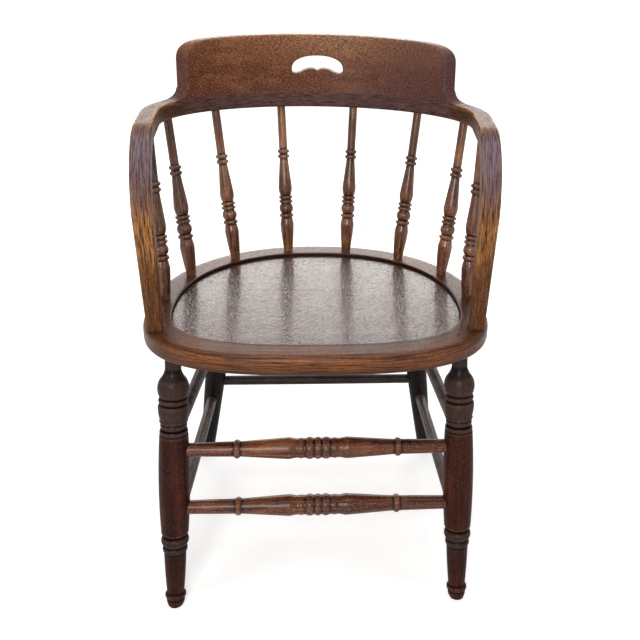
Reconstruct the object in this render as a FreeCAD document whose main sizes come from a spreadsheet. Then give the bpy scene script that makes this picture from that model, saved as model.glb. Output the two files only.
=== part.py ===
import FreeCAD, Part

import math
import os

# Captain's chair of oak: a bent seat frame with an inset panel, four raked legs, seven stretchers,
# eight turned spindles, one bent bow that is back rail and both arms, and a crest board on top of it.
# Millimetres. +Z is up, +Y is the chair's back, +X is to the right for someone facing the chair.
# The origin is on the floor, under the middle of the chair's outer box.

Vector = FreeCAD.Vector
UP = Vector(0, 0, 1)

# Each row holds a name, a size and what it measures.
SIZES = (
    ("glue_gap", 0.15, "radial clearance of every glued tenon"),
    ("end_gap", 0.5, "space left under the end of a tenon"),
    ("seat_height", 428, "floor to the top of the seat"),
    ("seat_thickness", 30, "seat frame, top to underside"),
    ("seat_half_width", 258.5, "middle of the seat to its side edge"),
    ("seat_back_depth", 257, "middle of the seat to its back edge"),
    ("seat_front_depth", 166, "middle of the seat to its front edge"),
    ("seat_back_fullness", 2.2, "exponent of the back half of the seat outline"),
    ("seat_front_fullness", 2.85, "exponent of the front half of the seat outline"),
    ("seat_top_round", 9, "radius of the seat's upper edge"),
    ("seat_under_round", 8, "radius of the seat's lower edge"),
    ("rim_width", 40, "seat edge to the panel's opening"),
    ("ledge_width", 22, "ledge that carries the panel"),
    ("panel_thickness", 8, "inset panel"),
    ("panel_recess", 5, "panel's top below the frame's top"),
    ("panel_gap", 0.3, "space round the inset panel"),
    ("leg_front_inset", 52.5, "seat's side edge in to the top of a front leg"),
    ("leg_front_setback", 68, "seat's front edge back to the top of a front leg"),
    ("leg_front_splay", 12, "front foot further out than its leg's top"),
    ("leg_front_rake", 65, "front foot further forward than its leg's top"),
    ("leg_back_inset", 99.5, "seat's side edge in to the top of a back leg"),
    ("leg_back_setback", 89, "seat's back edge forward to the top of a back leg"),
    ("leg_back_splay", 59, "back foot further out than its leg's top"),
    ("leg_back_rake", 62, "back foot further back than its leg's top"),
    ("leg_tenon_cover", 2, "wood left between a leg's tenon and the panel"),
    ("front_neck_diameter", 23.2, "front leg under the seat"),
    ("front_neck_drop", 22.4, "seat's underside down to the foot of the neck"),
    ("front_hollow_diameter", 30.5, "neck's hollow, halfway down"),
    ("front_hollow_height", 371.5, "neck's hollow, halfway down"),
    ("front_bulb_top_diameter", 38.2, "bulb where the hollow begins"),
    ("front_bulb_top_height", 366, "bulb where the hollow begins"),
    ("front_bulb_round_diameter", 42.6, "bulb between its widest line and its top"),
    ("front_bulb_round_height", 361, "bulb between its widest line and its top"),
    ("front_bulb_diameter", 45, "widest line of the bulb"),
    ("front_bulb_height", 352.6, "widest line of the bulb, along the leg"),
    ("front_bulb_flank_diameter", 43.2, "bulb between its foot and its widest line"),
    ("front_bulb_flank_height", 345.5, "bulb between its foot and its widest line"),
    ("front_bulb_foot_diameter", 38.8, "foot of the bulb"),
    ("front_bulb_foot_height", 340, "foot of the bulb"),
    ("front_upper_ring_diameter", 42.7, "ring between ball and bulb"),
    ("front_upper_ring_width", 8, "ring between ball and bulb"),
    ("front_upper_ring_height", 331, "underside of that ring"),
    ("front_pinch_diameter", 37.7, "groove over the ball"),
    ("front_ball_end_diameter", 38, "ball's upper end"),
    ("front_ball_end_height", 329.5, "ball's upper end"),
    ("front_ball_edge_diameter", 42.8, "ball's rounded upper edge"),
    ("front_ball_edge_height", 327.5, "ball's rounded upper edge"),
    ("front_ball_diameter", 44.4, "widest line of the ball"),
    ("front_ball_height", 323.8, "widest line of the ball"),
    ("front_ball_flank_diameter", 43.3, "ball between its foot and its widest line"),
    ("front_ball_flank_height", 315, "ball between its foot and its widest line"),
    ("front_ball_foot_diameter", 39.6, "foot of the ball"),
    ("front_ball_ring_diameter", 41, "ring under the ball"),
    ("front_ball_ring_foot_diameter", 37.6, "foot of the ring under the ball"),
    ("front_ball_ring_width", 5.5, "ring under the ball"),
    ("front_low_ring_diameter", 38.6, "ring over the groove"),
    ("front_low_ring_width", 9, "ring over the groove"),
    ("front_cove_diameter", 35.7, "groove above the collar"),
    ("front_cove_width", 2, "groove above the collar"),
    ("front_collar_diameter", 41, "collar on the shaft"),
    ("front_collar_foot_diameter", 39, "foot of the collar"),
    ("front_collar_width", 7.5, "collar on the shaft"),
    ("front_shaft_top_diameter", 41.6, "top of the shaft"),
    ("front_shaft_top", 281, "shoulder where the shaft begins"),
    ("front_shaft_shoulder", 1, "shaft's top to the foot of the collar"),
    ("front_shaft_foot", 123, "end of the shaft"),
    ("front_shaft_diameter", 45.6, "widest part of the shaft"),
    ("front_shaft_end_diameter", 40.4, "foot of the shaft"),
    ("front_lower_ring_diameter", 41, "upper ring under the shaft"),
    ("front_lower_ring_width", 12, "upper ring under the shaft"),
    ("front_small_ring_diameter", 37, "lower ring under the shaft"),
    ("front_small_ring_width", 9.5, "lower ring under the shaft"),
    ("front_groove_depth", 4, "grooves beside those rings"),
    ("front_groove_width", 3.5, "grooves beside those rings"),
    ("front_ankle_diameter", 26.2, "narrowest line above the foot"),
    ("front_ankle_height", 24, "narrowest line above the foot"),
    ("front_foot_ring_diameter", 31.5, "ring above the foot"),
    ("front_foot_ring_width", 9, "ring above the foot"),
    ("front_foot_diameter", 23, "foot where it meets the floor"),
    ("front_foot_swell", 4, "foot's widest line over its end"),
    ("leg_swell", 1, "rounding of a leg's tapers"),
    ("back_top_diameter", 28, "back leg under the seat"),
    ("back_swell_diameter", 37.5, "widest line of a back leg"),
    ("back_swell_height", 196, "widest line of a back leg"),
    ("back_foot_diameter", 25, "back foot where it meets the floor"),
    ("stretcher_stop", 4, "end of a stretcher to the leg's axis"),
    ("front_stretcher_upper", 252, "height of the upper front stretcher"),
    ("front_stretcher_lower", 160, "height of the lower front stretcher"),
    ("front_stretcher_end_diameter", 19.6, "turned stretcher where it enters a leg"),
    ("front_stretcher_waist_diameter", 22.2, "turned stretcher beside its outer rings"),
    ("front_stretcher_swell_diameter", 32, "turned stretcher's widest line"),
    ("front_stretcher_swell_place", 42, "middle to the widest line"),
    ("outer_ring_diameter", 27.5, "single ring towards each leg"),
    ("outer_ring_place", 114, "middle to the single ring"),
    ("outer_ring_width", 9.5, "single ring towards each leg"),
    ("bead_diameter", 32.3, "beads in the middle of the turned stretcher"),
    ("bead_groove_diameter", 28.5, "grooves between the beads"),
    ("middle_bead_width", 9.5, "middle bead"),
    ("side_bead_width", 11.5, "bead on each side of it"),
    ("end_bead_width", 7.5, "small bead beside each swelling"),
    ("end_bead_diameter", 30, "small bead beside each swelling"),
    ("bead_spacing_gap", 1.6, "groove between two beads"),
    ("swell_end_diameter", 28, "swelling beside its small bead"),
    ("side_upper_front", 272, "upper side stretcher at the front leg"),
    ("side_upper_back", 303, "upper side stretcher at the back leg"),
    ("side_lower_front", 129, "lower side stretcher at the front leg"),
    ("side_lower_back", 139, "lower side stretcher at the back leg"),
    ("side_stretcher_diameter", 18.3, "plain side stretchers"),
    ("back_stretcher_height", 174.5, "height of the back stretcher"),
    ("back_stretcher_diameter", 17.5, "plain back stretcher"),
    ("spindle_inset", 21, "seat edge to the spindles' line"),
    ("seat_angle_first", 12.6, "degrees from the back to the innermost spindle's foot"),
    ("seat_angle_step", 23.5, "degrees from each spindle's foot to the next"),
    ("bow_share_first", 0.1809, "innermost spindle's share of the way round one half of the bow's curve"),
    ("bow_share_second", 0.5139, "second spindle's share of that way"),
    ("bow_share_third", 0.7953, "third spindle's share of that way"),
    ("bow_share_fourth", 1.0738, "outermost spindle's share, a little past the curve's end"),
    ("spindle_tenon", 17, "spindle inside the seat and inside the bow"),
    ("spindle_foot_diameter", 15.4, "spindle where it enters the seat"),
    ("spindle_top_diameter", 13.9, "spindle where it enters the bow"),
    ("vase_diameter", 24.6, "lower vase of a spindle"),
    ("vase_height", 48, "widest line of the lower vase above the seat"),
    ("vase_swell", 1, "rounding of the lower vase"),
    ("vase_mouth_diameter", 20.5, "top of the lower vase"),
    ("low_ring_diameter", 25.2, "ring on the lower vase"),
    ("low_ring_height", 60, "underside of that ring"),
    ("low_ring_width", 7.6, "ring on the lower vase"),
    ("ball_diameter", 25, "ball between the rings"),
    ("ball_length", 16, "ball between the rings"),
    ("pair_ring_diameter", 24.8, "pair of rings over the ball"),
    ("pair_ring_width", 6, "each ring of that pair"),
    ("spindle_groove_diameter", 18.6, "grooves between the turnings"),
    ("spindle_groove_width", 1.6, "grooves between the turnings"),
    ("belly_foot_diameter", 20, "foot of the long swelling"),
    ("belly_swell", 1.2, "rounding of the long swelling's foot"),
    ("belly_diameter", 24.5, "long swelling of a spindle"),
    ("belly_height", 114, "widest line of the swelling above the seat"),
    ("neck_diameter", 14.8, "spindle at the upper beads"),
    ("neck_bead_height", 165, "underside of the upper beads"),
    ("neck_bead_diameter", 21, "upper pair of beads"),
    ("neck_bead_width", 7.4, "each bead of that pair"),
    ("bow_overhang", 21, "seat's back edge back to the bow's centre line"),
    ("bow_side_inset", 6, "seat's side edge in to the bow's centre line"),
    ("bow_half_depth", 173, "middle of the curve back to the bow's centre line"),
    ("bow_rise", 265, "seat top to the bow's centre line"),
    ("bow_width", 28, "bow seen from above"),
    ("bow_height", 25, "bow, top to underside"),
    ("bow_edge_round", 4.5, "radius of the bow's long edges"),
    ("arm_toe_in", 5.4, "degrees each arm turns inwards"),
    ("arm_bend_radius", 90, "bend of each arm, on its centre line"),
    ("arm_foot_inset", 26.5, "seat's side edge in to the middle of an arm's foot"),
    ("arm_foot_setback", 89, "seat's front edge back to the middle of an arm's foot"),
    ("arm_foot_width", 22, "arm's foot, side to side"),
    ("arm_foot_depth", 20, "arm's foot, front to back"),
    ("arm_tenon_diameter", 14, "round tenon under an arm's foot"),
    ("arm_tenon_length", 20, "round tenon under an arm's foot"),
    ("crest_rise", 94, "bow's top to the crest's top"),
    ("crest_thickness", 24, "crest board"),
    ("crest_lean", 10, "crest's top behind its foot"),
    ("crest_end_angle", 60, "degrees from the back round to the crest's end"),
    ("crest_slack_angle", 12, "degrees of board beyond the crest's end before it is shaped"),
    ("crest_corner_run", 90, "rounded upper corner along the crest"),
    ("crest_corner_drop", 34, "rounded upper corner, top to side"),
    ("crest_corner_level", 50, "part of the corner's run that leaves the top almost level"),
    ("crest_corner_plumb", 10, "part of the corner's drop before it stands almost plumb"),
    ("crest_cove_run", 34, "hollow at the foot of the crest's end, along the bow"),
    ("crest_cove_rise", 17, "hollow at the foot of the crest's end, upwards"),
    ("crest_feather", 1.2, "thickness of the crest where the hollow runs out"),
    ("handhold_half_width", 43.3, "middle to the end of the handhold"),
    ("handhold_rise", 34.5, "bow's top to the handhold's cusp"),
    ("handhold_height", 27, "cusp to the top of the handhold"),
    ("handhold_shoulder", 18, "cusp to where the arched top meets the rounded ends"),
    ("handhold_lobe_place", 11, "middle to the top of each lower lobe"),
    ("handhold_lobe_rise", 5, "cusp to the top of each lower lobe"),
    ("handhold_end_drop", 4.5, "cusp down to the lowest line of each end"),
    ("handhold_end_round", 10, "radius of the handhold's ends"),
    ("dowel_diameter", 9, "dowels between bow and crest"),
    ("dowel_bow_depth", 16, "dowel inside the bow"),
    ("dowel_crest_depth", 28, "dowel inside the crest"),
    ("dowel_angle_inner", 27, "degrees from the back to the inner dowels"),
    ("dowel_angle_outer", 51, "degrees from the back to the outer dowels"),
)

document = FreeCAD.newDocument("captains_chair")
sizes = document.addObject("Spreadsheet::Sheet", "sizes")
for row, (alias, value, meaning) in enumerate(SIZES, start=1):
    sizes.set(f"A{row}", meaning)
    sizes.set(f"B{row}", str(value))
    sizes.setAlias(f"B{row}", alias)
document.recompute()

# How far the chair reaches before and behind the middle of the seat sets the middle of its box.
front_reach = (sizes.seat_front_depth - sizes.leg_front_setback + sizes.leg_front_rake
               + sizes.front_foot_diameter / 2)
back_reach = (sizes.seat_back_depth + sizes.bow_overhang + sizes.crest_thickness
              - sizes.bow_width / 2 + sizes.crest_lean)
SEAT_Y = (front_reach - back_reach) / 2
SEAT_UNDER = sizes.seat_height - sizes.seat_thickness
LEG_TENON = sizes.seat_thickness - sizes.panel_recess - sizes.panel_thickness - sizes.leg_tenon_cover
BOW_HALF_WIDTH = sizes.seat_half_width - sizes.bow_side_inset
BOW_BEHIND = sizes.seat_back_depth + sizes.bow_overhang - sizes.bow_half_depth
ARM_FOOT_FORWARD = sizes.seat_front_depth - sizes.arm_foot_setback
BOW_Z = sizes.seat_height + sizes.bow_rise
BOW_TOP = BOW_Z + sizes.bow_height / 2
BOW_UNDER = BOW_Z - sizes.bow_height / 2
SIDES = (("left", -1), ("right", 1))

# Points that a closed outline is drawn through, how far a cutter reaches past what it cuts, and how
# close two levels are when they count as the same.
OUTLINE_POINTS = 48
CUTTER_REACH = 60
SAME_LEVEL = 0.01
SPINDLES_EACH_SIDE = 4

parts = []


def finished(piece, label):
    """Name a finished piece and keep it for writing out."""
    piece.Label = label
    parts.append(piece)
    return piece


def along(start, end):
    """Placement at start whose z axis points at end."""
    return FreeCAD.Placement(start, FreeCAD.Rotation(UP, end.sub(start)))


def towards(start, end, distance):
    """Point on the line from start to end, a distance from start."""
    return start + (end - start).normalize() * distance


def plane_of(body, role):
    """Origin plane of a body, by its role."""
    for feature in body.Origin.OriginFeatures:
        if feature.Role == role:
            return feature
    raise LookupError(role)


def sketch_on(body, role, name, curves):
    """Sketch of the given curves on one of the body's origin planes."""
    sketch = body.newObject("Sketcher::SketchObject", name)
    sketch.AttachmentSupport = (plane_of(body, role), "")
    sketch.MapMode = "FlatFace"
    for curve in curves:
        sketch.addGeometry(curve, False)
    return sketch


def rod(name, start, end, diameter, clearance="0"):
    """Plain round rod from start to end."""
    cylinder = document.addObject("Part::Cylinder", name)
    cylinder.Placement = along(start, end)
    cylinder.Height = start.distanceToPoint(end)
    cylinder.setExpression("Radius", f"sizes.{diameter} / 2 + {clearance}")
    return cylinder


def socket(name, start, end, diameter):
    """Tool for a round hole, one glue gap wider than the tenon it takes."""
    return rod(name, start, end, diameter, "sizes.glue_gap")


def cut_away(blank, tools, label):
    """Finished piece: a blank less all of its tools."""
    tool = document.addObject("Part::MultiFuse", f"{label}_tools")
    tool.Shapes = tools
    piece = document.addObject("Part::Cut", f"{label}_cut")
    piece.Base = blank
    piece.Tool = tool
    return finished(piece, label)


class Turning:
    """Half outline of a turned piece, drawn from its lower end upwards."""

    def __init__(self, height, diameter):
        self.curves = []
        self.first = Vector(diameter / 2, height, 0)
        self.last = self.first

    def line(self, height, diameter):
        """Straight stretch up to a height and diameter."""
        point = Vector(diameter / 2, height, 0)
        self.curves.append(Part.LineSegment(self.last, point))
        self.last = point

    def step(self, diameter):
        """Flat shoulder to another diameter."""
        self.line(self.last.y, diameter)

    def arc(self, through_height, through_diameter, height, diameter):
        """Round stretch through one point to another."""
        through = Vector(through_diameter / 2, through_height, 0)
        point = Vector(diameter / 2, height, 0)
        self.curves.append(Part.Arc(self.last, through, point))
        self.last = point

    def bead(self, width, crown_diameter):
        """Half-round ring of a width, back to the diameter it rose from."""
        top = self.last.y + width
        self.arc(self.last.y + width / 2, crown_diameter, top, self.last.x * 2)

    def body(self, label):
        """Body turned from the closed outline about its own z axis."""
        axis_top = Vector(0, self.last.y, 0)
        axis_foot = Vector(0, self.first.y, 0)
        outline = self.curves + [
            Part.LineSegment(self.last, axis_top),
            Part.LineSegment(axis_top, axis_foot),
            Part.LineSegment(axis_foot, self.first),
        ]
        body = document.addObject("PartDesign::Body", label)
        sketch = sketch_on(body, "XZ_Plane", f"{label}_outline", outline)
        turned = body.newObject("PartDesign::Revolution", f"{label}_turned")
        turned.Profile = sketch
        turned.ReferenceAxis = (sketch, ["V_Axis"])
        turned.Angle = 360
        return body


# Seat outline: two half superellipses that meet at the widest line.
def seat_point(angle, inset, height=0.0):
    """Point of the seat outline at an angle from +X, set in from the edge, about the seat's middle."""
    behind = math.sin(angle) >= 0
    depth = (sizes.seat_back_depth if behind else sizes.seat_front_depth) - inset
    width = sizes.seat_half_width - inset
    fullness = sizes.seat_back_fullness if behind else sizes.seat_front_fullness
    across = abs(math.cos(angle) / width) ** fullness
    deep = abs(math.sin(angle) / depth) ** fullness
    radius = (across + deep) ** (-1 / fullness)
    return Vector(radius * math.cos(angle), radius * math.sin(angle), height)


def seat_outline(inset):
    """Closed smooth curve round the seat, a set distance inside its edge."""
    turn = 2 * math.pi / OUTLINE_POINTS
    curve = Part.BSplineCurve()
    curve.interpolate(Points=[seat_point(step * turn, inset) for step in range(OUTLINE_POINTS)],
                      PeriodicFlag=True)
    return curve


def seat_place(height):
    """Placement over the middle of the seat."""
    return FreeCAD.Placement(Vector(0, SEAT_Y, height), FreeCAD.Rotation())


# Leg axes, from the foot on the floor to the seat's underside.
def leg_axis(end, side):
    """Foot and top of one leg's axis."""
    if end == "front":
        top = Vector(side * (sizes.seat_half_width - sizes.leg_front_inset),
                     SEAT_Y - sizes.seat_front_depth + sizes.leg_front_setback, SEAT_UNDER)
        foot = top + Vector(side * sizes.leg_front_splay, -sizes.leg_front_rake, -SEAT_UNDER)
    else:
        top = Vector(side * (sizes.seat_half_width - sizes.leg_back_inset),
                     SEAT_Y + sizes.seat_back_depth - sizes.leg_back_setback, SEAT_UNDER)
        foot = top + Vector(side * sizes.leg_back_splay, sizes.leg_back_rake, -SEAT_UNDER)
    return foot, top


def leg_point(end, side, height):
    """Point of a leg's axis at a height above the floor."""
    foot, top = leg_axis(end, side)
    return foot + (top - foot) * (height / top.z)


# Bow's centre line: a half ellipse, then a straight run forward into each arm's bend.
TOE_IN = math.radians(sizes.arm_toe_in)
BOW_CENTRE = Vector(0, SEAT_Y + BOW_BEHIND, BOW_Z)
CURVE_END = math.pi / 2 + math.atan2(sizes.bow_half_depth * math.sin(TOE_IN),
                                     BOW_HALF_WIDTH * math.cos(TOE_IN))


def bow_curve_point(angle, offset=0.0, height=0.0):
    """Point of the bow's curve at an angle from the back, moved outwards and up."""
    return BOW_CENTRE + Vector((BOW_HALF_WIDTH + offset) * math.sin(angle),
                               (sizes.bow_half_depth + offset) * math.cos(angle), height)


def bow_curve(offset, start, end, height=0.0):
    """Arc of the bow's ellipse between two angles from the back."""
    ellipse = Part.Ellipse(BOW_CENTRE + Vector(0, 0, height), BOW_HALF_WIDTH + offset,
                           sizes.bow_half_depth + offset)
    return Part.ArcOfEllipse(ellipse, math.pi / 2 - end, math.pi / 2 - start)


def arm_forward(side):
    """Level direction in which one arm runs forward."""
    return Vector(-side * math.sin(TOE_IN), -math.cos(TOE_IN), 0)


def arm_straight(side):
    """Start and end of the straight run between the curve and the bend."""
    start = bow_curve_point(side * CURVE_END)
    bend_end_y = SEAT_Y - ARM_FOOT_FORWARD
    run = (start.y - bend_end_y) / math.cos(TOE_IN) - sizes.arm_bend_radius
    return start, start + arm_forward(side) * run


def bow_point(share, side):
    """Point of the bow's centre line, a share of the curve from the middle of the back to one arm."""
    edge = bow_curve(0, 0, CURVE_END).toShape()
    run = share * edge.Length
    if run <= edge.Length:
        parameter = edge.getParameterByLength(edge.Length - run)
        point = edge.valueAt(parameter)
    else:
        start, end = arm_straight(1)
        point = towards(start, end, run - edge.Length)
    return Vector(side * point.x, point.y, point.z)


# Spindle axes, from the seat's top to the bow's underside.
def spindle_axis(place, side):
    """Foot and top of the axis of one spindle, place 0 being the innermost."""
    angle = math.radians(90 - sizes.seat_angle_first - sizes.seat_angle_step * place)
    foot = seat_point(angle, sizes.spindle_inset, sizes.seat_height)
    foot = Vector(side * foot.x, foot.y + SEAT_Y, foot.z)
    shares = (sizes.bow_share_first, sizes.bow_share_second, sizes.bow_share_third, sizes.bow_share_fourth)
    top = bow_point(shares[place], side)
    top.z = BOW_UNDER
    return foot, top


SPINDLES = [(SPINDLES_EACH_SIDE - place if side < 0 else SPINDLES_EACH_SIDE + 1 + place, place, side)
            for _, side in SIDES for place in range(SPINDLES_EACH_SIDE)]
LEGS = [(end, name, side) for end in ("front", "back") for name, side in SIDES]
DOWELS = [side * math.radians(angle) for _, side in SIDES
          for angle in (sizes.dowel_angle_inner, sizes.dowel_angle_outer)]


def arm_foot(side):
    """Middle of an arm's foot on the seat."""
    return Vector(side * (sizes.seat_half_width - sizes.arm_foot_inset), SEAT_Y - ARM_FOOT_FORWARD,
                  sizes.seat_height)


# Seat frame
def make_seat_frame():
    """Bent ring with a rabbet for the panel and sockets for legs, spindles and arms."""
    body = document.addObject("PartDesign::Body", "seat_blank")
    body.Placement = seat_place(sizes.seat_height)
    pad = body.newObject("PartDesign::Pad", "seat_pad")
    pad.Profile = sketch_on(body, "XY_Plane", "seat_edge", [seat_outline(0)])
    pad.Reversed = True
    pad.setExpression("Length", "sizes.seat_thickness")
    document.recompute()
    base = pad
    for name, radius, level in (("seat_top_rounding", "seat_top_round", 0),
                                ("seat_under_rounding", "seat_under_round", -sizes.seat_thickness)):
        edges = [f"Edge{number}" for number, edge in enumerate(base.Shape.Edges, start=1)
                 if edge.isClosed() and abs(edge.BoundBox.ZMin - level) < SAME_LEVEL
                 and abs(edge.BoundBox.ZMax - level) < SAME_LEVEL]
        rounding = body.newObject("PartDesign::Fillet", name)
        rounding.Base = (base, edges)
        rounding.setExpression("Radius", f"sizes.{radius}")
        document.recompute()
        base = rounding
    solid_volume = base.Shape.Volume
    rabbet = body.newObject("PartDesign::Pocket", "panel_rabbet")
    rabbet.Profile = sketch_on(body, "XY_Plane", "rabbet_edge", [seat_outline(sizes.rim_width)])
    rabbet.setExpression("Length", "sizes.panel_recess + sizes.panel_thickness")
    opening = body.newObject("PartDesign::Pocket", "seat_opening")
    opening.Profile = sketch_on(body, "XY_Plane", "opening_edge",
                                [seat_outline(sizes.rim_width + sizes.ledge_width)])
    opening.Type = "ThroughAll"
    document.recompute()
    if opening.Shape.Volume > solid_volume / 2:
        raise ValueError("the seat opening removed too little")
    tools = []
    for number, place, side in SPINDLES:
        foot, top = spindle_axis(place, side)
        tools.append(socket(f"seat_socket_{number}", towards(foot, top, -sizes.spindle_tenon - sizes.end_gap),
                            top, "spindle_foot_diameter"))
    for end, name, side in LEGS:
        foot, top = leg_axis(end, side)
        diameter = "front_neck_diameter" if end == "front" else "back_top_diameter"
        tools.append(socket(f"seat_leg_socket_{end}_{name}", towards(top, foot, LEG_TENON),
                            towards(top, foot, -LEG_TENON - sizes.end_gap), diameter))
    for name, side in SIDES:
        foot = arm_foot(side)
        depth = Vector(0, 0, sizes.arm_tenon_length + sizes.end_gap)
        tools.append(socket(f"seat_arm_socket_{name}", foot - depth, foot + depth, "arm_tenon_diameter"))
    cut_away(body, tools, "seat_frame")


# Seat panel
def make_seat_panel():
    """Thin panel that lies on the frame's ledge."""
    body = document.addObject("PartDesign::Body", "seat_panel")
    body.Placement = seat_place(sizes.seat_height - sizes.panel_recess)
    pad = body.newObject("PartDesign::Pad", "panel_pad")
    pad.Profile = sketch_on(body, "XY_Plane", "panel_edge", [seat_outline(sizes.rim_width + sizes.panel_gap)])
    pad.Reversed = True
    pad.setExpression("Length", "sizes.panel_thickness")
    finished(body, "seat_panel")


# Front legs
def front_leg_turning(length):
    """Outline of a front leg, along its axis from the floor."""
    groove = sizes.front_groove_width
    turning = Turning(-sizes.front_foot_diameter / 2, sizes.front_foot_diameter)
    ring_foot = sizes.front_ankle_height - sizes.front_foot_ring_width - groove
    turning.line(0, sizes.front_foot_diameter)
    turning.arc(ring_foot / 2, sizes.front_foot_diameter + sizes.front_foot_swell,
                ring_foot, sizes.front_ankle_diameter)
    turning.bead(sizes.front_foot_ring_width, sizes.front_foot_ring_diameter)
    turning.line(sizes.front_ankle_height, sizes.front_ankle_diameter)
    small_ring = (sizes.front_shaft_foot - 3 * groove - sizes.front_lower_ring_width
                  - sizes.front_small_ring_width)
    small_groove = sizes.front_small_ring_diameter - sizes.front_groove_depth
    turning.arc((sizes.front_ankle_height + small_ring) / 2,
                (sizes.front_ankle_diameter + small_groove) / 2 + sizes.leg_swell, small_ring, small_groove)
    turning.bead(sizes.front_small_ring_width, sizes.front_small_ring_diameter)
    turning.line(turning.last.y + groove, small_groove)
    turning.step(sizes.front_lower_ring_diameter - sizes.front_groove_depth)
    turning.bead(sizes.front_lower_ring_width, sizes.front_lower_ring_diameter)
    turning.step(sizes.front_lower_ring_diameter - 2 * sizes.front_groove_depth)
    turning.line(turning.last.y + groove, sizes.front_lower_ring_diameter - 2 * sizes.front_groove_depth)
    turning.line(sizes.front_shaft_foot, sizes.front_shaft_end_diameter)
    turning.arc((sizes.front_shaft_foot + sizes.front_shaft_top) / 2, sizes.front_shaft_diameter,
                sizes.front_shaft_top, sizes.front_shaft_top_diameter)
    turning.line(sizes.front_shaft_top + sizes.front_shaft_shoulder, sizes.front_collar_foot_diameter)
    turning.bead(sizes.front_collar_width, sizes.front_collar_diameter)
    turning.step(sizes.front_cove_diameter)
    turning.line(turning.last.y + sizes.front_cove_width, sizes.front_cove_diameter)
    turning.bead(sizes.front_low_ring_width, sizes.front_low_ring_diameter)
    turning.step(sizes.front_ball_ring_foot_diameter)
    turning.bead(sizes.front_ball_ring_width, sizes.front_ball_ring_diameter)
    turning.step(sizes.front_ball_foot_diameter)
    turning.arc(sizes.front_ball_flank_height, sizes.front_ball_flank_diameter,
                sizes.front_ball_height, sizes.front_ball_diameter)
    turning.arc(sizes.front_ball_edge_height, sizes.front_ball_edge_diameter,
                sizes.front_ball_end_height, sizes.front_ball_end_diameter)
    turning.line(sizes.front_upper_ring_height, sizes.front_pinch_diameter)
    turning.bead(sizes.front_upper_ring_width, sizes.front_upper_ring_diameter)
    turning.line(sizes.front_bulb_foot_height, sizes.front_bulb_foot_diameter)
    turning.arc(sizes.front_bulb_flank_height, sizes.front_bulb_flank_diameter,
                sizes.front_bulb_height, sizes.front_bulb_diameter)
    turning.arc(sizes.front_bulb_round_height, sizes.front_bulb_round_diameter,
                sizes.front_bulb_top_height, sizes.front_bulb_top_diameter)
    turning.arc(sizes.front_hollow_height, sizes.front_hollow_diameter,
                length - sizes.front_neck_drop, sizes.front_neck_diameter)
    turning.line(length + LEG_TENON, sizes.front_neck_diameter)
    return turning


def back_leg_turning(length):
    """Outline of a back leg: plain, swelling in the middle."""
    turning = Turning(-sizes.back_foot_diameter / 2, sizes.back_foot_diameter)
    turning.line(0, sizes.back_foot_diameter)
    turning.arc(sizes.back_swell_height / 2,
                (sizes.back_foot_diameter + sizes.back_swell_diameter) / 2 + sizes.leg_swell,
                sizes.back_swell_height, sizes.back_swell_diameter)
    turning.arc((sizes.back_swell_height + length) / 2,
                (sizes.back_top_diameter + sizes.back_swell_diameter) / 2 + sizes.leg_swell,
                length, sizes.back_top_diameter)
    turning.line(length + LEG_TENON, sizes.back_top_diameter)
    return turning


def floor_block(name):
    """Block under the floor that cuts a raked foot level."""
    block = document.addObject("Part::Box", name)
    block.setExpression("Length", "4 * sizes.back_foot_diameter")
    block.setExpression("Width", "4 * sizes.back_foot_diameter")
    block.setExpression("Height", "2 * sizes.back_foot_diameter")
    return block


def stretcher_joints():
    """Every stretcher with its two ends: name, leg and height at each end, tenon diameter."""
    rows = []
    for level, height in (("upper", sizes.front_stretcher_upper), ("lower", sizes.front_stretcher_lower)):
        rows.append((f"stretcher_front_{level}", ("front", -1, height), ("front", 1, height),
                     "front_stretcher_end_diameter"))
    for name, side in SIDES:
        rows.append((f"stretcher_{name}_upper", ("front", side, sizes.side_upper_front),
                     ("back", side, sizes.side_upper_back), "side_stretcher_diameter"))
        rows.append((f"stretcher_{name}_lower", ("front", side, sizes.side_lower_front),
                     ("back", side, sizes.side_lower_back), "side_stretcher_diameter"))
    height = sizes.back_stretcher_height
    rows.append(("stretcher_back", ("back", -1, height), ("back", 1, height), "back_stretcher_diameter"))
    return rows


def stretcher_ends(first, second):
    """End points of a stretcher, each a little short of its leg's axis."""
    start = leg_point(*first)
    end = leg_point(*second)
    return towards(start, end, sizes.stretcher_stop), towards(end, start, sizes.stretcher_stop)


def make_legs():
    """Four raked legs with their stretcher sockets, cut level at the floor."""
    for end, name, side in LEGS:
        foot, top = leg_axis(end, side)
        length = foot.distanceToPoint(top)
        turning = front_leg_turning(length) if end == "front" else back_leg_turning(length)
        body = turning.body(f"leg_{end}_{name}_blank")
        body.Placement = along(foot, top)
        block = floor_block(f"floor_{end}_{name}")
        block.Placement.Base = foot - Vector(2 * sizes.back_foot_diameter, 2 * sizes.back_foot_diameter,
                                             2 * sizes.back_foot_diameter)
        tools = [block]
        for label, first, second, diameter in stretcher_joints():
            for near, far in ((first, second), (second, first)):
                if near[:2] == (end, side):
                    start, far_end = stretcher_ends(near, far)
                    tools.append(socket(f"{label}_socket_{end}_{name}",
                                        towards(start, far_end, -sizes.end_gap),
                                        towards(start, far_end, sizes.front_shaft_diameter), diameter))
        cut_away(body, tools, f"leg_{end}_{name}")


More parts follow.
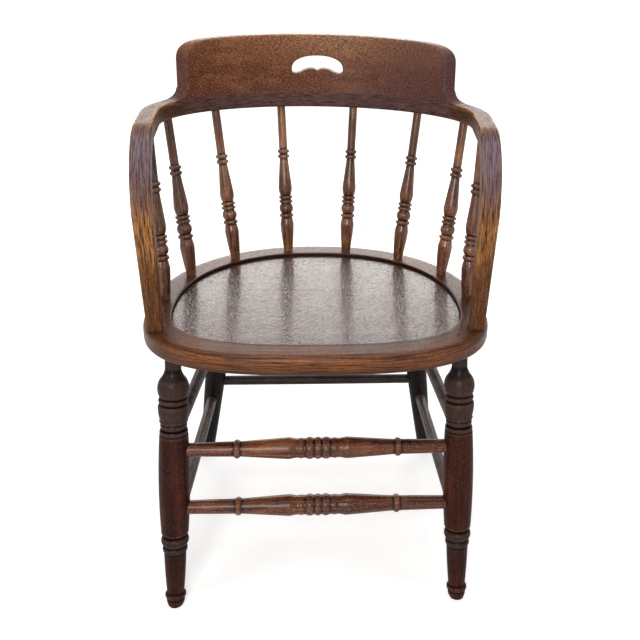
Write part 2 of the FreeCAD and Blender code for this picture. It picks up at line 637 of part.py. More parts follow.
# Stretchers
def front_stretcher_turning(length):
    """Outline of a turned stretcher, end to end, about its middle."""
    half = length / 2
    gap = sizes.bead_spacing_gap
    groove = sizes.bead_groove_diameter
    ring_in = sizes.outer_ring_place
    ring_out = ring_in + sizes.outer_ring_width
    middle = sizes.middle_bead_width / 2
    side_in = middle + gap
    side_out = side_in + sizes.side_bead_width
    end_in = side_out + 2 * gap
    end_out = end_in + sizes.end_bead_width
    swell_in = end_out + 2 * gap
    turning = Turning(-half, sizes.front_stretcher_end_diameter)
    turning.line(-ring_out, sizes.front_stretcher_waist_diameter)
    turning.bead(sizes.outer_ring_width, sizes.outer_ring_diameter)
    turning.line(-sizes.front_stretcher_swell_place, sizes.front_stretcher_swell_diameter)
    turning.line(-swell_in, sizes.swell_end_diameter)
    turning.line(-end_out, groove)
    turning.bead(sizes.end_bead_width, sizes.end_bead_diameter)
    turning.line(-side_out, groove)
    turning.bead(sizes.side_bead_width, sizes.bead_diameter)
    turning.line(-middle, groove)
    turning.bead(sizes.middle_bead_width, sizes.bead_diameter)
    turning.line(side_in, groove)
    turning.bead(sizes.side_bead_width, sizes.bead_diameter)
    turning.line(end_in, groove)
    turning.bead(sizes.end_bead_width, sizes.end_bead_diameter)
    turning.line(swell_in, sizes.swell_end_diameter)
    turning.line(sizes.front_stretcher_swell_place, sizes.front_stretcher_swell_diameter)
    turning.line(ring_in, sizes.front_stretcher_waist_diameter)
    turning.bead(sizes.outer_ring_width, sizes.outer_ring_diameter)
    turning.line(half, sizes.front_stretcher_end_diameter)
    return turning


def make_stretchers():
    """Two turned stretchers in front and five plain ones."""
    for label, first, second, diameter in stretcher_joints():
        start, end = stretcher_ends(first, second)
        if label.startswith("stretcher_front"):
            body = front_stretcher_turning(start.distanceToPoint(end)).body(label)
            body.Placement = along((start + end) / 2, end)
            finished(body, label)
        else:
            finished(rod(label, start, end, diameter), label)


# Spindles
def spindle_turning(length):
    """Outline of a spindle, from its tenon in the seat to its tenon in the bow."""
    groove = sizes.spindle_groove_diameter
    gap = sizes.spindle_groove_width
    turning = Turning(-sizes.spindle_tenon, sizes.spindle_foot_diameter)
    turning.line(0, sizes.spindle_foot_diameter)
    turning.arc(sizes.vase_height / 2,
                (sizes.spindle_foot_diameter + sizes.vase_diameter) / 2 + sizes.vase_swell,
                sizes.vase_height, sizes.vase_diameter)
    turning.line(sizes.low_ring_height - gap, sizes.vase_mouth_diameter)
    turning.line(sizes.low_ring_height, groove)
    turning.bead(sizes.low_ring_width, sizes.low_ring_diameter)
    turning.line(turning.last.y + gap / 2, groove)
    turning.bead(sizes.ball_length, sizes.ball_diameter)
    for _ in range(2):
        turning.line(turning.last.y + gap, groove)
        turning.bead(sizes.pair_ring_width, sizes.pair_ring_diameter)
    turning.line(turning.last.y + gap, sizes.belly_foot_diameter)
    turning.arc((turning.last.y + sizes.belly_height) / 2,
                (sizes.belly_foot_diameter + sizes.belly_diameter) / 2 + sizes.belly_swell,
                sizes.belly_height, sizes.belly_diameter)
    turning.line(sizes.neck_bead_height, sizes.neck_diameter)
    turning.bead(sizes.neck_bead_width, sizes.neck_bead_diameter)
    turning.line(turning.last.y + gap, sizes.neck_diameter)
    turning.bead(sizes.neck_bead_width, sizes.neck_bead_diameter)
    turning.line(length, sizes.spindle_top_diameter)
    turning.line(length + sizes.spindle_tenon, sizes.spindle_top_diameter)
    return turning


def make_spindles():
    """Eight spindles, counted from the left."""
    for number, place, side in SPINDLES:
        foot, top = spindle_axis(place, side)
        body = spindle_turning(foot.distanceToPoint(top)).body(f"spindle_{number}")
        body.Placement = along(foot, top)
        finished(body, f"spindle_{number}")


# Bow
def rounded_section(middle, across, upwards, width, height, radius):
    """Rounded rectangle as a closed wire, in the plane of two directions."""
    half_width = width / 2
    half_height = height / 2
    inner = 1 - math.sqrt(0.5)
    corners = ((1, 1), (-1, 1), (-1, -1), (1, -1))
    points = []
    for index, (right, top) in enumerate(corners):
        on_side = (right * half_width, top * (half_height - radius))
        on_level = (right * (half_width - radius), top * half_height)
        bulge = (right * (half_width - inner * radius), top * (half_height - inner * radius))
        ends = (on_side, on_level) if index % 2 == 0 else (on_level, on_side)
        points.append((ends[0], bulge, ends[1]))

    def place(pair):
        return middle + across * pair[0] + upwards * pair[1]

    edges = []
    for index, (first, bulge, last) in enumerate(points):
        edges.append(Part.Arc(place(first), place(bulge), place(last)).toShape())
        following = points[(index + 1) % len(points)][0]
        edges.append(Part.LineSegment(place(last), place(following)).toShape())
    return Part.Wire(edges)


def bow_section(middle, across, upwards):
    """Cross-section of the bow at a point of its centre line."""
    return rounded_section(middle, across, upwards, sizes.bow_width, sizes.bow_height,
                           sizes.bow_edge_round)


def arm_pieces(side):
    """Bend, upright and foot tenon of one arm."""
    start, bend_start = arm_straight(side)
    forward = arm_forward(side)
    across = forward.cross(UP)
    bend_centre = bend_start - UP * sizes.arm_bend_radius
    bend = Part.Face(bow_section(bend_start, across, UP)).revolve(bend_centre, across, -90)
    bend_end = bend_centre + forward * sizes.arm_bend_radius
    upper = bow_section(bend_end, across, forward)
    foot = arm_foot(side)
    lower = rounded_section(foot, across, forward, sizes.arm_foot_width, sizes.arm_foot_depth,
                            sizes.bow_edge_round)
    upright = Part.makeLoft([upper, lower], True, True)
    tenon = Part.makeCylinder(sizes.arm_tenon_diameter / 2, sizes.arm_tenon_length + sizes.bow_edge_round,
                              foot - UP * sizes.arm_tenon_length)
    return [bend, upright, tenon]


def make_arm_bow():
    """Back rail and both arms, bent from one stick, so it leaves its plane and has no single sketch."""
    left_start, left_end = arm_straight(-1)
    right_start, right_end = arm_straight(1)
    spine = Part.Wire([
        Part.LineSegment(right_end, right_start).toShape(),
        bow_curve(0, -CURVE_END, CURVE_END).toShape(),
        Part.LineSegment(left_start, left_end).toShape(),
    ])
    sweep = Part.BRepOffsetAPI.MakePipeShell(spine)
    sweep.setBiNormalMode(UP)
    sweep.add(bow_section(right_end, arm_forward(1).cross(UP), UP), False, False)
    sweep.build()
    sweep.makeSolid()
    rail = sweep.shape()
    pieces = arm_pieces(-1) + arm_pieces(1)
    blank = document.addObject("Part::Feature", "bow_blank")
    blank.Shape = rail.fuse(pieces).removeSplitter()
    tools = []
    for number, place, side in SPINDLES:
        foot, top = spindle_axis(place, side)
        tools.append(socket(f"bow_socket_{number}", towards(top, foot, sizes.spindle_tenon),
                            towards(top, foot, -sizes.spindle_tenon - sizes.end_gap),
                            "spindle_top_diameter"))
    for number, angle in enumerate(DOWELS, start=1):
        middle = dowel_place(angle)
        tools.append(socket(f"bow_dowel_socket_{number}",
                            middle - UP * (sizes.dowel_bow_depth + sizes.end_gap),
                            middle + UP * sizes.dowel_bow_depth, "dowel_diameter"))
    cut_away(blank, tools, "arm_bow")


# Crest
CREST_IN = -sizes.bow_width / 2
CREST_OUT = CREST_IN + sizes.crest_thickness
CREST_END = math.radians(sizes.crest_end_angle)


def dowel_place(angle):
    """Middle of a dowel where bow and crest meet."""
    return bow_curve_point(angle, (CREST_IN + CREST_OUT) / 2, sizes.bow_height / 2)


def crest_board():
    """Curved board that leans back, drawn past both ends of the crest."""
    reach = CREST_END + math.radians(sizes.crest_slack_angle)
    level = sizes.bow_height / 2
    inner = bow_curve(CREST_IN, -reach, reach, level)
    outer = bow_curve(CREST_OUT, -reach, reach, level)
    edges = [
        inner.toShape(),
        Part.LineSegment(inner.EndPoint, outer.EndPoint).toShape(),
        outer.toShape(),
        Part.LineSegment(outer.StartPoint, inner.StartPoint).toShape(),
    ]
    face = Part.Face(Part.Wire(Part.__sortEdges__(edges)))
    return face.extrude(Vector(0, sizes.crest_lean, sizes.crest_rise))


def crest_end_cutter(side):
    """Everything outside the crest's end: rounded corner, plumb end and the hollow at its foot."""
    middle = bow_curve_point(side * CREST_END, 0, sizes.bow_height / 2)
    ahead = Vector(side * BOW_HALF_WIDTH * math.cos(CREST_END),
                   -sizes.bow_half_depth * math.sin(CREST_END), 0).normalize()
    outwards = ahead.cross(UP)
    rise = sizes.crest_rise
    over = rise + CUTTER_REACH
    corner_run = sizes.crest_corner_run
    corner_foot = rise - sizes.crest_corner_drop

    def place(run, height):
        return middle + ahead * run + UP * height - outwards * CUTTER_REACH

    corner = Part.BezierCurve()
    corner.setPoles([place(-corner_run, rise), place(sizes.crest_corner_level - corner_run, rise),
                     place(0, rise - sizes.crest_corner_plumb), place(0, corner_foot)])
    hollow = Part.BezierCurve()
    hollow.setPoles([place(0, sizes.crest_cove_rise), place(0, sizes.crest_feather),
                     place(sizes.crest_cove_run, sizes.crest_feather)])
    outline = [
        corner.toShape(),
        Part.LineSegment(place(0, corner_foot), place(0, sizes.crest_cove_rise)).toShape(),
        hollow.toShape(),
    ]
    corners = [place(sizes.crest_cove_run, sizes.crest_feather), place(sizes.crest_cove_run, -CUTTER_REACH),
               place(3 * CUTTER_REACH, -CUTTER_REACH), place(3 * CUTTER_REACH, over),
               place(-corner_run, over), place(-corner_run, rise)]
    for first, second in zip(corners, corners[1:]):
        outline.append(Part.LineSegment(first, second).toShape())
    face = Part.Face(Part.Wire(outline))
    return face.extrude(outwards * (2 * CUTTER_REACH))


def handhold_cutter():
    """Handhold: an arched top, round ends and two lobes that meet in a cusp."""
    half = sizes.handhold_half_width
    end = sizes.handhold_end_round
    lobe = sizes.handhold_lobe_place
    lobe_rise = sizes.handhold_lobe_rise
    drop = sizes.handhold_end_drop
    shoulder = sizes.handhold_shoulder
    front = SEAT_Y + BOW_BEHIND

    def place(across, height):
        return Vector(across, front, BOW_TOP + sizes.handhold_rise + height)

    right = (
        Part.Arc(place(half - end / 2, shoulder), place(half, (shoulder - drop) / 2 + drop),
                 place(half - end, -drop)),
        Part.Arc(place(half - end, -drop), place((half - end + lobe) / 2, lobe_rise / 3),
                 place(lobe, lobe_rise)),
        Part.Arc(place(lobe, lobe_rise), place(lobe / 2, lobe_rise - lobe_rise / 5), place(0, 0)),
    )
    edges = [Part.Arc(place(end / 2 - half, shoulder), place(0, sizes.handhold_height),
                      place(half - end / 2, shoulder)).toShape()]
    for curve in right:
        edge = curve.toShape()
        edges.append(edge)
        edges.append(edge.mirror(Vector(0, 0, 0), Vector(1, 0, 0)))
    face = Part.Face(Part.Wire(Part.__sortEdges__(edges)))
    return face.extrude(Vector(0, sizes.bow_half_depth + 2 * CUTTER_REACH, 0))


def make_crest_rail():
    """Crest board, sawn to the bow's curve, with a handhold and hollowed ends."""
    blank = document.addObject("Part::Feature", "crest_blank")
    blank.Shape = crest_board().cut([crest_end_cutter(-1), crest_end_cutter(1), handhold_cutter()])
    tools = []
    for number, angle in enumerate(DOWELS, start=1):
        middle = dowel_place(angle)
        tools.append(socket(f"crest_dowel_socket_{number}", middle - UP * sizes.dowel_crest_depth,
                            middle + UP * (sizes.dowel_crest_depth + sizes.end_gap), "dowel_diameter"))
    cut_away(blank, tools, "crest_rail")


def make_crest_dowels():
    """Dowels that hold the crest on the bow."""
    dowels = []
    for number, angle in enumerate(DOWELS, start=1):
        middle = dowel_place(angle)
        dowels.append(rod(f"crest_dowel_{number}", middle - UP * sizes.dowel_bow_depth,
                          middle + UP * sizes.dowel_crest_depth, "dowel_diameter"))
    group = document.addObject("Part::Compound", "crest_dowels")
    group.Links = dowels
    finished(group, "crest_dowels")


make_seat_frame()
make_seat_panel()
make_legs()
make_stretchers()
make_spindles()
make_arm_bow()
make_crest_rail()
make_crest_dowels()
document.recompute()

for item in document.Objects:
    if "Invalid" in item.State or "Error" in item.State:
        raise RuntimeError(f"{item.Label} failed: {item.State}")
for piece in parts:
    if piece.Shape.isNull() or not piece.Shape.isValid():
        raise RuntimeError(f"{piece.Label} has no valid shape")

os.makedirs("parts", exist_ok=True)
whole = FreeCAD.BoundBox()
for piece in parts:
    piece.Shape.exportStep(f"parts/{piece.Label}.step")
    whole.add(piece.Shape.BoundBox)
    print(f"{piece.Label}: {len(piece.Shape.Solids)} solid, {piece.Shape.Volume / 1000:.1f} cm3")
print(f"box x {whole.XMin:.1f} to {whole.XMax:.1f}, y {whole.YMin:.1f} to {whole.YMax:.1f}, "
      f"z {whole.ZMin:.1f} to {whole.ZMax:.1f}")
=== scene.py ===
"""Captain's chair of stained oak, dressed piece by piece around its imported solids.

Sizes inside the classes are millimetres; meshes are metres. +Z is up and +Y is the chair's back.
"""

from __future__ import annotations

import logging
import math
from bisect import bisect_left
from collections.abc import Iterable
from dataclasses import dataclass
from enum import Enum
from functools import cached_property
from itertools import accumulate

import bmesh
import bpy
from mathutils import Matrix, Vector

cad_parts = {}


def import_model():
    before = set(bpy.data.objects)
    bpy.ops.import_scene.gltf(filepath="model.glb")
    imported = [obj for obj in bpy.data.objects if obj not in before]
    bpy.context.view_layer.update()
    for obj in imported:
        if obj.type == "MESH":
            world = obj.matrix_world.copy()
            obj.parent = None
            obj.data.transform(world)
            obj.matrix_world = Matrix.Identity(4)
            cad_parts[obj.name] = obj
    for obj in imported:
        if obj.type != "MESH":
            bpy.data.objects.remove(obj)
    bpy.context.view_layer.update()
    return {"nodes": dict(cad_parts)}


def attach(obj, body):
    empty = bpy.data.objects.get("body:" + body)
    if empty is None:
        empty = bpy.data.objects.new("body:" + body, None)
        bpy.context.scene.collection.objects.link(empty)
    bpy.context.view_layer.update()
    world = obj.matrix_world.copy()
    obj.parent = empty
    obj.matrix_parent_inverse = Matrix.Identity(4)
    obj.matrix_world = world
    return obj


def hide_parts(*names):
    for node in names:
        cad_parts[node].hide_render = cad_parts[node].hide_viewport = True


LOG = logging.getLogger("captains_chair")

MM = 0.001
SEAT_MIDDLE_Y = -61.75
SEAT_TOP = 428.0
SEAT_UNDERSIDE = 398.0
UP = Vector((0, 0, 1))

Colour = tuple[float, float, float]


class Slot(Enum):
    """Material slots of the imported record."""

    SEAT = "seat_oak"
    TURNED = "turned_oak"
    BENT = "bent_oak"


class Side(Enum):
    """Side of the chair as someone sees it who faces the front, with its sign along +X."""

    LEFT = -1
    RIGHT = 1

    @property
    def word(self) -> str:
        """The side's word in a piece's name."""
        return self.name.lower()


class End(Enum):
    """Front or back of the chair, with its word in a piece's name."""

    FRONT = "front"
    BACK = "back"


def colour(red: int, green: int, blue: int) -> Colour:
    """Linear colour of a display colour, whose parts go from 0 to 255."""
    return linear(red), linear(green), linear(blue)


def linear(part: int) -> float:
    """One part of a display colour as a linear share."""
    share = part / 255
    return share / 12.92 if share <= 0.04045 else ((share + 0.055) / 1.055) ** 2.4


def clamped(value: float) -> float:
    """The value, kept from 0 to 1."""
    return min(1.0, max(0.0, value))


def smooth(value: float, low: float, high: float) -> float:
    """Smooth rise from 0 at low to 1 at high."""
    share = clamped((value - low) / (high - low))
    return share * share * (3 - 2 * share)


def quarter(steps: int) -> list[float]:
    """Angles of a quarter turn, from 0 on, in even steps."""
    return [math.pi / 2 * step / steps for step in range(steps + 1)]


def stepped(low: float, high: float, step: float) -> list[float]:
    """Even numbers from low to high, about a step apart."""
    count = max(1, round((high - low) / step))
    return [low + (high - low) * number / count for number in range(count + 1)]


@dataclass(frozen=True)
class Ramp:
    """Smooth change from a start to an end, while a value goes from low to high."""

    low: float
    high: float
    start: float = 0.0
    end: float = 1.0

    def of(self, value: float) -> float:
        """Result for a value."""
        return self.start + (self.end - self.start) * smooth(value, self.low, self.high)


# Finishes


@dataclass(frozen=True)
class Figure:
    """Noise in the wood: cells in a metre, finer layers, their strength, and how far it is distorted."""

    scale: float
    detail: float
    roughness: float
    distortion: float = 0.0


class Graph:
    """Node tree of one material or world, with short calls for its nodes."""

    def __init__(self, owner: bpy.types.Material | bpy.types.World) -> None:
        """Start an empty tree with its output node.

        Args:
            owner: The material or world that gets the nodes.
        """
        owner.use_nodes = True
        self.tree = owner.node_tree
        self.tree.nodes.clear()
        kind = "ShaderNodeOutputWorld" if isinstance(owner, bpy.types.World) else "ShaderNodeOutputMaterial"
        self.output = self.node(kind)

    def node(self, kind: str, inputs: dict[str | int, object] | None = None,
             **settings: object) -> bpy.types.Node:
        """New node.

        Args:
            kind: Blender's name of the node type.
            inputs: Socket name or number to a value or to another node's socket.
            settings: Properties of the node.

        Returns:
            The node.
        """
        made = self.tree.nodes.new(kind)
        for name, value in settings.items():
            setattr(made, name, value)
        for name, value in (inputs or {}).items():
            self.feed(made.inputs[name], value)
        return made

    def feed(self, socket: bpy.types.NodeSocket, value: object) -> None:
        """Give a socket a value, or link it to another socket.

        Args:
            socket: The input that gets the value.
            value: A number, a colour, a vector or another node's output.
        """
        if isinstance(value, bpy.types.NodeSocket):
            self.tree.links.new(value, socket)
        elif isinstance(value, tuple) and len(value) == 3 and socket.type == "RGBA":
            socket.default_value = (*value, 1.0)
        else:
            socket.default_value = value

    def attribute(self, name: str, output: str = "Fac") -> bpy.types.NodeSocket:
        """Socket of a mesh attribute."""
        return self.node("ShaderNodeAttribute", attribute_name=name).outputs[output]

    def math(self, operation: str, first: object, second: object) -> bpy.types.NodeSocket:
        """Result of a sum on two values, kept from 0 to 1."""
        made = self.node("ShaderNodeMath", {0: first, 1: second}, operation=operation, use_clamp=True)
        return made.outputs[0]

    def times(self, first: object, second: object) -> bpy.types.NodeSocket:
        """Product of two values, kept from 0 to 1."""
        return self.math("MULTIPLY", first, second)

    def plus(self, first: object, second: object) -> bpy.types.NodeSocket:
        """Sum of two values, kept from 0 to 1."""
        return self.math("ADD", first, second)

    def stretched(self, vector: bpy.types.NodeSocket, scale: tuple[float, float, float],
                  shift: tuple[float, float, float] = (0.0, 0.0, 0.0)) -> bpy.types.NodeSocket:
        """Vector scaled along each axis and moved."""
        made = self.node("ShaderNodeMapping", {"Vector": vector, "Scale": scale, "Location": shift})
        return made.outputs["Vector"]

    def noise(self, vector: bpy.types.NodeSocket, figure: Figure) -> bpy.types.NodeSocket:
        """Noise from 0 to 1.

        Args:
            vector: Place in the wood.
            figure: Kind of noise.

        Returns:
            The noise.
        """
        made = self.node("ShaderNodeTexNoise", {
            "Vector": vector, "Scale": figure.scale, "Detail": figure.detail, "Roughness": figure.roughness,
            "Distortion": figure.distortion})
        return made.outputs["Fac"]

    def between(self, value: bpy.types.NodeSocket, ramp: Ramp) -> bpy.types.NodeSocket:
        """Value taken along a ramp.

        Args:
            value: What goes from the ramp's low to its high.
            ramp: The ramp.

        Returns:
            The value between the ramp's start and end.
        """
        made = self.node("ShaderNodeMapRange", {
            "Value": value, "From Min": ramp.low, "From Max": ramp.high, "To Min": ramp.start,
            "To Max": ramp.end}, interpolation_type="SMOOTHSTEP")
        return made.outputs["Result"]

    def mixed(self, share: object, first: object, second: object) -> bpy.types.NodeSocket:
        """Two colours blended by the second one's share.

        Args:
            share: How much of the second colour.
            first: Colour at 0.
            second: Colour at 1.

        Returns:
            The blended colour.
        """
        made = self.node("ShaderNodeMix", data_type="RGBA", blend_type="MIX")
        self.feed(made.inputs["Factor"], share)
        self.feed(made.inputs["A"], first)
        self.feed(made.inputs["B"], second)
        return made.outputs["Result"]


@dataclass(frozen=True)
class OakFinish:
    """Stained oak under old crackled varnish.

    The mesh attribute "grain" holds a point's place in its own stick, with the fibres along z, and "wear" is
    1 where hands and feet have rubbed. The third attribute is 1 where there is dirt and where shade is
    painted into grooves, recesses, gaps and undersides; the fourth is 1 where a grey sheen is painted on,
    over the arms' bends and the front legs' heads, and where the varnish is greyed.
    """

    PATCHES = Figure(11, 4, 0.6, 0.6)
    SPOTS = Figure(160, 4, 0.65)
    FLECKS = Figure(560, 3, 0.7)
    CLOUDS = Figure(24, 5, 0.65, 0.8)
    THREAD_LAYERS = (2, 0.55)
    FIBRE_LAYERS = (6, 0.62, 0.35)
    FLECK_STRETCH = (1.0, 1.0, 0.5)
    FLECK_SHIFT = (0.2, 0.5, 0.1)
    STREAKS = Ramp(0.3, 0.68)
    RUBBED_PATCHES = (0.45, 0.75)
    WORN_SPOTS = Ramp(0.25, 0.6, 0.35, 1.0)
    BRIGHT = Ramp(0.52, 0.62)
    OPEN_PORES = Ramp(0.41, 0.51, 1.0, 0.0)
    PORE_EDGES = Ramp(0.38, 0.5)
    LIT_BY_WEAR = (0.0, 0.7)
    LIT_UNWORN = 0.22
    OPENED_BY_WEAR = (0.0, 0.5)
    OPEN_UNWORN = 0.35
    CLOUD_EDGES = Ramp(0.42, 0.7)
    CLOUDY_LINES = (0.42, 0.56)
    # Ramp of the darkening attribute, which holds dirt and painted shade, towards the dark colour.
    DIRT_AND_SHADE = Ramp(0.05, 0.95)
    SCALES = Ramp(0.0, 0.16)
    CRACKED_PATCHES = Ramp(0.25, 0.62, 0.25, 1.0)
    WANDER_CELLS = 0.7
    WANDER_DETAIL = 2.0
    WANDER = (0.004, 0.004, 0.004)
    PORE_RELIEF = 0.22
    SPOT_RELIEF = 0.2
    RELIEF_DEPTH = 0.0006
    GLOSSY_SPOTS = (0.3, 0.7)
    GLOSSIER = 0.06
    DULLER = 0.1
    DIRT_AND_SHADE_DULL = 0.2
    IOR = 1.5

    name: str
    deep: Colour
    body: Colour
    worn: Colour
    # Grey of hazy varnish, and of the grey sheen painted on the arms and the front legs.
    sheen_and_haze: Colour = colour(104, 88, 92)
    # Dark colour of cracks, pores, dirt and painted shade.
    grime: Colour = colour(16, 11, 9)
    streak_scale: float = 60.0
    fibre_stretch: float = 0.06
    thread_scale: float = 520.0
    thread_stretch: float = 0.02
    thread_light: float = 0.25
    pore_strength: float = 0.55
    fleck_share: float = 0.3
    crackle_cells: float = 330.0
    crackle_across: float = 0.55
    crackle_depth: float = 0.4
    crackle_shade: float = 0.3
    # Share of random grey clouds; on the side stretchers it is large and paints a grey sheen.
    sheen_and_haze_share: float = 0.2
    rub_share: float = 0.55
    cloud_lines: float = 0.85
    roughness: float = 0.38
    specular: float = 0.12
    coat: float = 0.12
    coat_roughness: float = 0.14
    bump: float = 0.3

    def material(self) -> bpy.types.Material:
        """Node material of this finish.

        Returns:
            The material.
        """
        made = bpy.data.materials.new(self.name)
        graph = Graph(made)
        grain = graph.attribute("grain", "Vector")
        # Dirt, and painted shade in grooves, recesses, gaps and undersides.
        grime = graph.attribute("grime")
        patches = graph.noise(grain, self.PATCHES)
        spots = graph.noise(grain, self.SPOTS)
        threads = graph.noise(graph.stretched(grain, (1.0, 1.0, self.thread_stretch)),
                              Figure(self.thread_scale, *self.THREAD_LAYERS))
        wood = self._wood(graph, grain, patches, spots, threads)
        scales, crack = self._crackle(graph, grain, patches)
        wood = graph.mixed(graph.times(crack, self.crackle_shade), wood, self.grime)
        # Dirt and painted shade darken the wood.
        wood = graph.mixed(graph.between(grime, self.DIRT_AND_SHADE), wood, self.grime)

        relief = graph.plus(graph.times(scales, self.crackle_depth),
                            graph.times(graph.between(threads, self.PORE_EDGES), self.PORE_RELIEF))
        relief = graph.plus(relief, graph.times(spots, self.SPOT_RELIEF))
        bump = graph.node("ShaderNodeBump", {"Strength": self.bump, "Distance": self.RELIEF_DEPTH,
                                             "Height": relief})
        gloss = graph.between(spots, Ramp(*self.GLOSSY_SPOTS, self.roughness - self.GLOSSIER,
                                          self.roughness + self.DULLER))
        dull = graph.plus(gloss, graph.times(graph.plus(crack, grime), self.DIRT_AND_SHADE_DULL))
        shader = graph.node("ShaderNodeBsdfPrincipled", {
            "Base Color": wood, "Roughness": dull, "Normal": bump.outputs["Normal"], "IOR": self.IOR,
            "Specular IOR Level": self.specular, "Coat Weight": self.coat,
            "Coat Roughness": self.coat_roughness, "Coat Normal": bump.outputs["Normal"]})
        graph.feed(graph.output.inputs["Surface"], shader.outputs["BSDF"])
        return made

    def _wood(self, graph: Graph, grain: bpy.types.NodeSocket, patches: bpy.types.NodeSocket,
              spots: bpy.types.NodeSocket, threads: bpy.types.NodeSocket) -> bpy.types.NodeSocket:
        """Colour of the stained wood, from its streaks, rubbed places, pores, greyed varnish and painted grey
        sheen.

        Args:
            graph: Tree that gets the nodes.
            grain: Place in the stick.
            patches: Slow change from 0 to 1.
            spots: Quick change from 0 to 1.
            threads: Fine lines along the fibres, low in the open pores of the oak.

        Returns:
            The colour.
        """
        wear = graph.attribute("wear")
        # Painted grey sheen and greyed varnish, from the mesh.
        sheen_and_haze_mask = graph.attribute("bloom")
        fibres = graph.noise(graph.stretched(grain, (1.0, 1.0, self.fibre_stretch)),
                             Figure(self.streak_scale, *self.FIBRE_LAYERS))
        streaks = graph.between(fibres, self.STREAKS)
        wood = graph.mixed(streaks, self.deep, self.body)

        rub = graph.times(graph.between(patches, Ramp(*self.RUBBED_PATCHES, 0.0, self.rub_share)), streaks)
        worn = graph.plus(rub, graph.times(wear, graph.between(spots, self.WORN_SPOTS)))
        wood = graph.mixed(worn, wood, self.worn)

        flecks = graph.noise(graph.stretched(grain, self.FLECK_STRETCH, self.FLECK_SHIFT), self.FLECKS)
        wood = graph.mixed(graph.times(graph.between(flecks, self.BRIGHT), self.fleck_share), wood, self.worn)

        lit = graph.between(wear, Ramp(*self.LIT_BY_WEAR, self.LIT_UNWORN * self.thread_light,
                                       self.thread_light))
        wood = graph.mixed(graph.times(graph.between(threads, self.BRIGHT), lit), wood, self.worn)

        opened = graph.between(wear, Ramp(*self.OPENED_BY_WEAR, self.OPEN_UNWORN * self.pore_strength,
                                          self.pore_strength))
        wood = graph.mixed(graph.times(graph.between(threads, self.OPEN_PORES), opened), wood, self.grime)

        # Grey: random hazy clouds, and the mesh's painted sheen and greyed varnish along the fibre lines.
        clouds = graph.between(graph.noise(grain, self.CLOUDS), self.CLOUD_EDGES)
        lines = graph.between(threads, Ramp(*self.CLOUDY_LINES, 1.0 - self.cloud_lines, 1.0))
        bloom = graph.plus(graph.times(clouds, self.sheen_and_haze_share), graph.times(sheen_and_haze_mask, lines))
        return graph.mixed(bloom, wood, self.sheen_and_haze)

    def _crackle(self, graph: Graph, grain: bpy.types.NodeSocket,
                 patches: bpy.types.NodeSocket) -> tuple[bpy.types.NodeSocket, bpy.types.NodeSocket]:
        """Scales of the old varnish.

        Args:
            graph: Tree that gets the nodes.
            grain: Place in the stick.
            patches: Slow change from 0 to 1.

        Returns:
            1 on the scales, and how open the cracks between them are.
        """
        wander = graph.node("ShaderNodeTexNoise", {
            "Vector": grain, "Scale": self.crackle_cells * self.WANDER_CELLS, "Detail": self.WANDER_DETAIL})
        bent = graph.node("ShaderNodeVectorMath", {0: wander.outputs["Color"], 1: self.WANDER},
                          operation="MULTIPLY")
        moved = graph.node("ShaderNodeVectorMath", {0: grain, 1: bent.outputs["Vector"]}, operation="ADD")
        across = graph.stretched(moved.outputs["Vector"], (self.crackle_across, self.crackle_across, 1.0))
        cells = graph.node("ShaderNodeTexVoronoi", {"Vector": across, "Scale": self.crackle_cells,
                                                    "Randomness": 1.0}, feature="DISTANCE_TO_EDGE")
        scales = graph.between(cells.outputs["Distance"], self.SCALES)
        crack = graph.times(graph.math("SUBTRACT", 1.0, scales), graph.between(patches, self.CRACKED_PATCHES))
        return scales, crack


